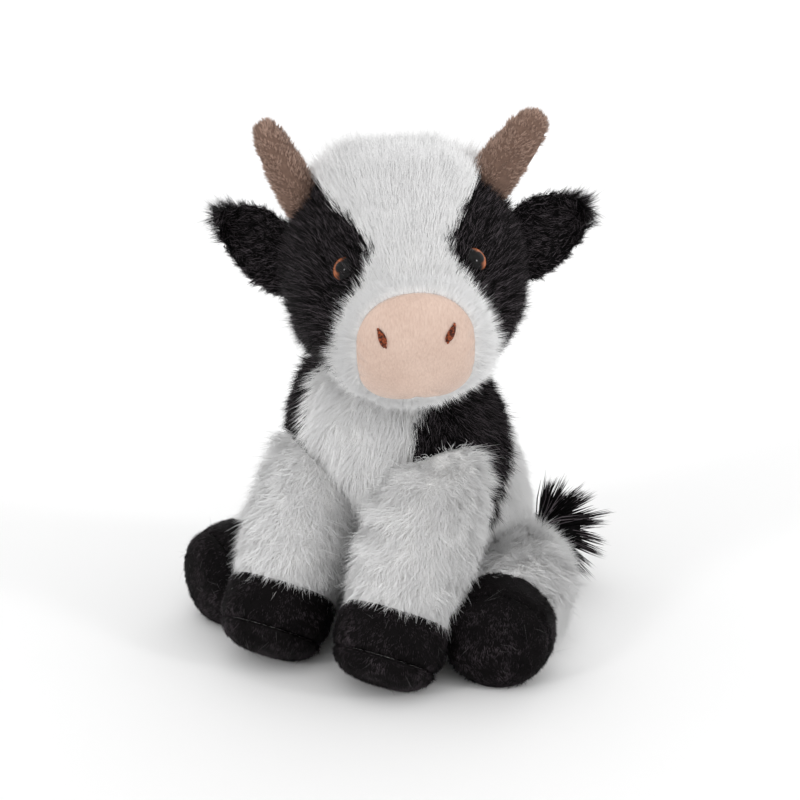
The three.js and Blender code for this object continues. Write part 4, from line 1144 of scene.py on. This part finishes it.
# Legs. Each is a fluffy white sleeve over filling, sewn to the torso at its ball and ending in a stuffed
# hoof of short black pile with a round sole let into its end.
cuff, sole_at, hem_gap, seam_clear = 9 * mm, 11 * mm, 0.3 * mm, 0.8 * mm
hoof_skin = mottled(
    "hoof_velvet", (0.001, 0.0008, 0.0009), (0.006, 0.005, 0.0053), (1100.0, 3.0), 0.8 * mm,
    (55.0, 4.0), (0.4, 0.5), Roughness=0.7, Specular_IOR_Level=0.05,
)
# Hoof pile: painted shade at the roots, painted glints on some strands (0.4) and clouds of painted sheen
# (0.9).
hoof_pile = strands(
    "hoof_pile", (0.0008, 0.0006, 0.0007), (0.0028, 0.0023, 0.0026), 0.45, 0.4, 0.9,
    Roughness=0.5, Specular_IOR_Level=0.05,
)
hoof_cloth = Cloth("hoof_cloth", hoof_skin, hoof_pile)
lint = strands("hoof_lint", (0.05, 0.047, 0.047), (0.15, 0.145, 0.145), 0.2, Roughness=0.7)
hoof_lint = hoof_cloth._replace(pile=lint)


def higher_than(height):
    """A test of whether points lie above a height."""
    return lambda points: points[:, 2] > height


for number, (name, leg) in enumerate(placed_legs.items()):
    down = leg.down
    turn, shares = round_angles(64), np.linspace(0.02, 0.98, 260)
    level, last = leg.inside_torso(shares, turn, seam_clear)
    column = np.arange(len(turn))
    low, high = level[last, column], level[np.minimum(last + 1, len(shares) - 1), column]
    part = np.clip((1 - low) / np.where(high == low, 1, high - low), 0, 1)
    start = shares[last] + part * (shares[1] - shares[0])
    wall_rows = 36
    steps = leg.wall_steps(shares, start, cuff + hem_gap, wall_rows)
    fuller = 1.6 * mm * np.sin(np.pi * np.linspace(0, 1, wall_rows + 1)) ** 0.7
    wall = leg.limb.at(steps, turn)
    wall = wall + unit(wall - leg.limb.frames(steps)[0]) * fuller[:, None, None]
    wall[-1] -= down * ((wall[-1] - leg.middle) @ down + cuff + hem_gap)[:, None]
    sleeve = on_floor(np.concatenate([leg.cap(wall[0], 8, seam_clear), wall]))
    wall = on_floor(wall)
    make_skin(f"{name}_sleeve", sheet_of(sleeve), name, white_plush, plush_thick, 0.8)

    def leg_lean(points):
        """Nearly upright on the ball at the top, lying down towards the hoof."""
        return 20 + 32 * np.clip(((points - leg.joint) @ down + 8 * mm) / (24 * mm), 0, 1)

    upper = dict(seed=45 + number, tufts=330, each=7, length=8 * mm, radius=0.11 * mm, bent=True)
    under = dict(seed=40 + number, tufts=2500, each=8, length=6.8 * mm, radius=0.14 * mm)
    for layer, sizes in (("under", under), ("upper", upper)):
        make_pile(
            f"{name}_sleeve_{layer}_pile", sheet_of(wall), name, white_plush, **sizes,
            comb=down + 0.35 * downward, lean=leg_lean, spread=2.8 * mm, pull=0.1, soft=0.97,
            swirl=0.6, swirl_size=12 * mm, stray=0.15, ragged=9, keep=higher_than(1.5 * mm),
        )
    make_pile(
        f"{name}_sleeve_hem_pile", sheet_of(wall[-5:]), name, white_plush, seed=60 + number,
        tufts=240, each=9, length=8 * mm, radius=0.13 * mm, comb=down + 0.35 * downward, lean=62,
        spread=1.6 * mm, pull=0.85, soft=0.9, swirl=0.5, swirl_size=9 * mm, ragged=10,
        keep=higher_than(1.5 * mm),
    )
    cuff_share, seam_share = 0.5 - cuff / hoof_length, 0.5 + sole_at / hoof_length
    band_rows, sole_rows = 26, 22
    to_middle = 1 - (1 - np.arange(1, sole_rows + 1) / sole_rows) ** 1.7
    band_share = np.linspace(cuff_share, seam_share, band_rows)
    share = np.concatenate([band_share, seam_share + (1 - seam_share) * to_middle])
    turn = round_angles(72)
    cover = leg.hoof.at(share[:, None], turn)
    held = np.zeros(cover.shape[:2], bool)
    held[[0, band_rows - 1]] = True
    cover = stuffed(cover, held, ease=0.055, most=1.7 * mm)
    gathers = 0.7 + 0.3 * np.sin(26 * turn + 2 * np.sin(3 * turn + number))
    from_seam = (share - seam_share) * hoof_length / (1.5 * mm)
    drawn = 1.3 * mm * np.exp(-(from_seam**2))[:, None] * gathers
    cover = cover - unit(cover - leg.hoof.frames(share)[0][:, None]) * drawn[..., None]
    band, sole = on_floor(cover[:band_rows]), on_floor(cover[band_rows - 1:])
    sole[0] += down * 0.3 * mm
    hoof_comb = down + 0.4 * downward
    for part, grid, tufts, later in (("hoof", band, 1400, 0), ("sole", sole, 1100, 10)):
        surface = sheet_of(on_floor(grid))
        make_skin(f"{name}_{part}", surface, name, hoof_cloth, 2 * mm, 0.85)
        make_pile(
            f"{name}_{part}_pile", surface, name, hoof_cloth, seed=50 + number + later,
            tufts=tufts, each=4, length=1.7 * mm, radius=0.15 * mm, comb=hoof_comb, lean=58,
            spread=1.2 * mm, pull=0.3, keep=higher_than(1 * mm),
        )
        make_pile(
            f"{name}_{part}_lint", surface, name, hoof_lint, seed=70 + number + later,
            tufts=60, each=1, length=6 * mm, radius=0.05 * mm, comb=hoof_comb, lean=76, curl=0.3,
            spread=0.1 * mm, bent=True, soft=0.3, swirl=6, swirl_size=9 * mm, stray=0.3,
            keep=lambda points: (points[:, 2] > 3 * mm) & (drift(points, 14 * mm, 90)[:, 0] > 0.1),
        )

# Tail. A rolled stem of black plush sewn to the back, low on the cow's left, ends in a fan of long loose
# black fibre tied in at the stem.
tail_heading, stem_length, stem_radius = math.radians(22), 24 * mm, 5 * mm
heading = np.array([math.cos(tail_heading), math.sin(tail_heading), 0])
upright = np.array([0.0, 0.0, 1.0])
tail_joint = next(joint for joint in frame["joints"] if joint["name"] == "tail_swing")
tail_root = np.array(tail_joint["pos_m"])
stem_end = tail_root + heading * stem_length
stem_line = [tail_root + heading * stem_length * k / 2 for k in (0, 1, 2)]
stem = Form([(place, stem_radius, stem_radius) for place in stem_line], upright, (0.33, 0.67))
stem_surface = sheet_of(stem.grid(24, 24))
make_skin("tail_stem", stem_surface, "tail", black_plush)
make_pile(
    "tail_stem_pile", stem_surface, "tail", black_plush, seed=70,
    tufts=260, each=9, length=6 * mm, radius=0.18 * mm, comb=heading, lean=55, soft=0.4,
)
core_sizes = ((5 * mm, 4 * mm), (8 * mm, 5 * mm), (7 * mm, 4 * mm))
core_line = [(stem_end + heading * 9 * mm * k, *size) for k, size in enumerate(core_sizes)]
core = sheet_of(Form(core_line, upright, (0.33, 0.33)).grid(20, 24))
make_piece("tail_tuft_core", core, "tail", "black_plush", black_plush.backing, ["tail_tuft"])
random = np.random.default_rng(71)
clumps, clump_strands, fibre_length, fibre_radius = 36, 18, 31, 0.42 * mm
fan = np.radians(np.linspace(-74, 82, clumps) + 3 * random.standard_normal(clumps))
yaw = np.radians(14 * random.standard_normal(clumps))
level_side = np.cross(heading, (0, 0, 1))
level_way = heading * np.cos(yaw)[:, None] + level_side * np.sin(yaw)[:, None]
spray = level_way * np.cos(fan)[:, None] + upright * np.sin(fan)[:, None]
reach = (fibre_length - 7 * np.abs(np.sin(fan)) + 3 * random.standard_normal(clumps)) * mm
spray, reach = np.repeat(spray, clump_strands, 0), np.repeat(reach, clump_strands)[:, None]
loose = random.standard_normal((2, len(spray), 3)) * mm
root = stem_end - heading * 2 * mm + spray * 2 * mm + loose[0] * 0.7
own = 1 + 0.05 * random.standard_normal((len(spray), 1))
tip = on_floor(root + spray * reach * own + loose[1] * 0.9, 0.6 * mm)
bend = (root + tip) / 2 + loose[0] * 0.3 + upright * 0.8 * mm
points, faces, uv, shading = spikes(
    root, bend, tip, np.broadcast_to(upright, spray.shape), fibre_radius, random.random(len(spray)),
    0.2, spray,
)
make_piece(
    "tail_tuft_strands", (points, faces), "tail", "black_plush", black_plush.pile, uv=uv, normal=shading
)

# Inside. Loose fibre fills the torso, the head and each leg. A linen pouch of pellets lies low in the seat,
# a washer locks each eye, and a gathering thread draws the neck in between the torso's ball and the head.
fibre = mottled(
    "filling_fibre", (0.74, 0.74, 0.72), (0.95, 0.95, 0.93), (260.0, 6.0, 2.5), 1.2 * mm,
    Roughness=0.95, Sheen_Weight=0.3,
)
filling_clear = plush_thick + 1 * mm


def make_filling(part, grid, body, seed):
    """Fibre pulls into soft lumps: each point moves by up to about half a millimetre."""
    lumpy = grid + drift(grid, 11 * mm, seed) * 0.4 * mm
    make_piece(f"{part}_filling_fibre", sheet_of(lumpy), body, "filling", fibre, [f"{part}_filling"])


pouch_half = np.array([20 * mm, 17 * mm, 15 * mm])
pouch_middle = np.array([0, 17 * mm, plush_thick + 0.3 * mm + pouch_half[2]])
hollow = pouch_half + 1 * mm
inside = necked(torso.grid(44, 64, grow=-filling_clear), -filling_clear)
beside = (((inside - pouch_middle)[..., :2] / hollow[:2]) ** 2).sum(-1)
roof = pouch_middle[2] + hollow[2] * np.sqrt(np.clip(1 - beside, 0, 1))
inside[..., 2] = np.where((beside < 1) & (inside[..., 2] < roof), roof, inside[..., 2])
make_filling("torso", inside, "torso", 81)
inside = seated(from_head(skull.grid(44, 64, grow=-filling_clear)), filling_clear)
make_filling("head", inside, "head", 82)
leg_filling_clear, hoof_filling_clear, filling_off_floor = 5 * mm, 3 * mm, 3.3 * mm
for number, (name, leg) in enumerate(placed_legs.items()):
    turn, shares = round_angles(40), np.linspace(0.05, 0.98, 160)
    _, last = leg.inside_torso(shares, turn, leg_filling_clear, -filling_clear)
    wall = leg.limb.at(leg.wall_steps(shares, shares[last], cuff, 19), turn, -filling_clear)
    hoof_share = np.linspace(0.5 - cuff / hoof_length + 0.05, 1, 20)
    hoof_inside = leg.hoof.at(hoof_share[:, None], turn, -hoof_filling_clear)
    inside = np.concatenate([leg.cap(wall[0], 5, leg_filling_clear), wall, hoof_inside])
    make_filling(name, on_floor(inside, filling_off_floor), name, 83 + number)

linen = Finish("pouch_linen", Roughness=0.9)
where = linen.node("TexCoord", out="Object")
threads = {"Vector": where, "Scale": 350.0, "Distortion": 0.4}
warp, weft = (linen.node("TexWave", {"bands_direction": way}, threads) for way in ("X", "Z"))
pellets = linen.node("TexVoronoi", {}, {"Vector": where, "Scale": 330.0})
linen.set(Base_Color=linen.mix(warp * 0.5 + weft * 0.5, (0.50, 0.46, 0.39), (0.70, 0.66, 0.58)))
linen.bump((warp + weft) * 0.15 - pellets * 0.7, 0.8 * mm)
pouch_ends = [pouch_middle + np.array([s * pouch_half[0], 0, 0]) for s in (-1, 0, 1)]
pouch = Form([(place, *pouch_half[1:]) for place in pouch_ends], (0, 1, 0), (0.09, 0.09))
make_piece(
    "pellet_pouch_cover", sheet_of(pouch.grid(36, 48)), "torso", "pouch_cloth", linen.material,
    ["pellet_pouch"], fill=0.7,
)

washer_plastic = mottled(
    "washer_plastic", (0.76, 0.76, 0.74), (0.84, 0.84, 0.82), (1500.0, 2.0), 0.1 * mm, Roughness=0.45
)
for side_name, _ in both_sides:
    washer_mesh = bpy.data.objects[f"eye_washer_{side_name}"].data
    washer_mesh.materials.clear()
    washer_mesh.materials.append(washer_plastic)

cotton = mottled(
    "neck_cotton", (0.68, 0.67, 0.64), (0.88, 0.87, 0.84), (1800.0, 3.0), 0.15 * mm, Roughness=0.85
)
thread_turns, thread_radius, thread_sides = 3, 0.52 * mm, 12
groove_width, groove_out, groove_height = 4 * mm, 0.8 * mm + 0.6 * mm, 0.67
plies, ply_twists = 3, 75
run = np.linspace(0, 1, thread_turns * 110)
fall = math.asin(groove_height) + (run - 0.5) * (groove_width - 2.4 * thread_radius) / neck_radius
round_neck = 2 * np.pi * thread_turns * run
level = [np.sin(fall) * np.cos(round_neck), np.sin(fall) * np.sin(round_neck)]
out_way = np.stack([*level, np.cos(fall)], axis=-1)
thread_line = neck_centre + out_way * (neck_radius + groove_out)
thread_aside = np.cross(unit(np.gradient(thread_line, axis=0)), out_way)
ply = round_angles(thread_sides)
lobed = thread_radius * (1 + 0.16 * np.cos(plies * ply + ply_twists * 2 * np.pi * run[:, None]))
lobed[[0, -1]] = 0
thread_grid = thread_line[:, None] + circled(out_way, thread_aside, ply) * lobed[..., None]
make_piece("neck_thread_turns", sheet_of(thread_grid), "neck", "thread", cotton, ["neck_thread"])

# Floor, light and camera. A sheet of white paper under three broad soft lamps, with two small ones that
# give the eyes their sparks, seen from in front and to the cow's left.
floor_half = 6.0
floor_mesh = bpy.data.meshes.new("floor")
floor_corners = [(x * floor_half, y * floor_half, 0) for x, y in ((-1, -1), (1, -1), (1, 1), (-1, 1))]
floor_mesh.from_pydata(floor_corners, [], [(0, 1, 2, 3)])
paper = Finish("floor_paper", Roughness=0.9, Base_Color=(0.92, 0.92, 0.92), Specular_IOR_Level=0.1)
floor_mesh.materials.append(paper.material)
floor = put("floor", floor_mesh)

world = bpy.data.worlds.new("studio")
bpy.context.scene.world = world
world.use_nodes = True
background = world.node_tree.nodes["Background"]
sky = Nodes(world.node_tree)
camera_ray, glossy, through = (
    sky.node("LightPath", out=f"Is {kind} Ray") for kind in ("Camera", "Glossy", "Transmission")
)
shown = camera_ray.maths("MAXIMUM", camera_ray.maths("MAXIMUM", camera_ray, glossy), through)
ambient = 0.82
(shown * (1 - ambient) + ambient).feed(background.inputs["Strength"])
background.inputs["Color"].default_value = (1, 1, 1, 1)

for name, turn, height, strength, spread in (
    ("key_lamp", 10, 55, 0.35, 60),
    ("fill_lamp", 80, 35, 0.2, 60),
    ("back_lamp", 205, 32, 0.45, 60),
    ("right_spark_lamp", -15, 28, 0.42, 10),
    ("left_spark_lamp", 93, 28, 0.42, 10),
):
    light = bpy.data.lights.new(name, "SUN")
    light.energy, light.angle = strength, math.radians(spread)
    put(name, light).rotation_euler = (math.radians(90 - height), 0, math.radians(turn))

azimuth, elevation, distance = math.radians(31), math.radians(17.5), 0.9
aim_at, frame_width = np.array([0, -0.020, 0.120]), 0.352
level = math.cos(elevation)
back_way = np.array([math.sin(azimuth) * level, -math.cos(azimuth) * level, math.sin(elevation)])
camera_data = bpy.data.cameras.new("camera")
camera_data.sensor_width = 36
camera_data.lens = camera_data.sensor_width * distance / frame_width
camera_data.shift_y = -0.0325
camera = put("camera", camera_data)
camera.location = aim_at + back_way * distance
camera.rotation_euler = (math.pi / 2 - elevation, 0, azimuth)
bpy.context.scene.camera = camera
bpy.context.scene.view_settings.view_transform = "Standard"

bpy.context.view_layer.update()
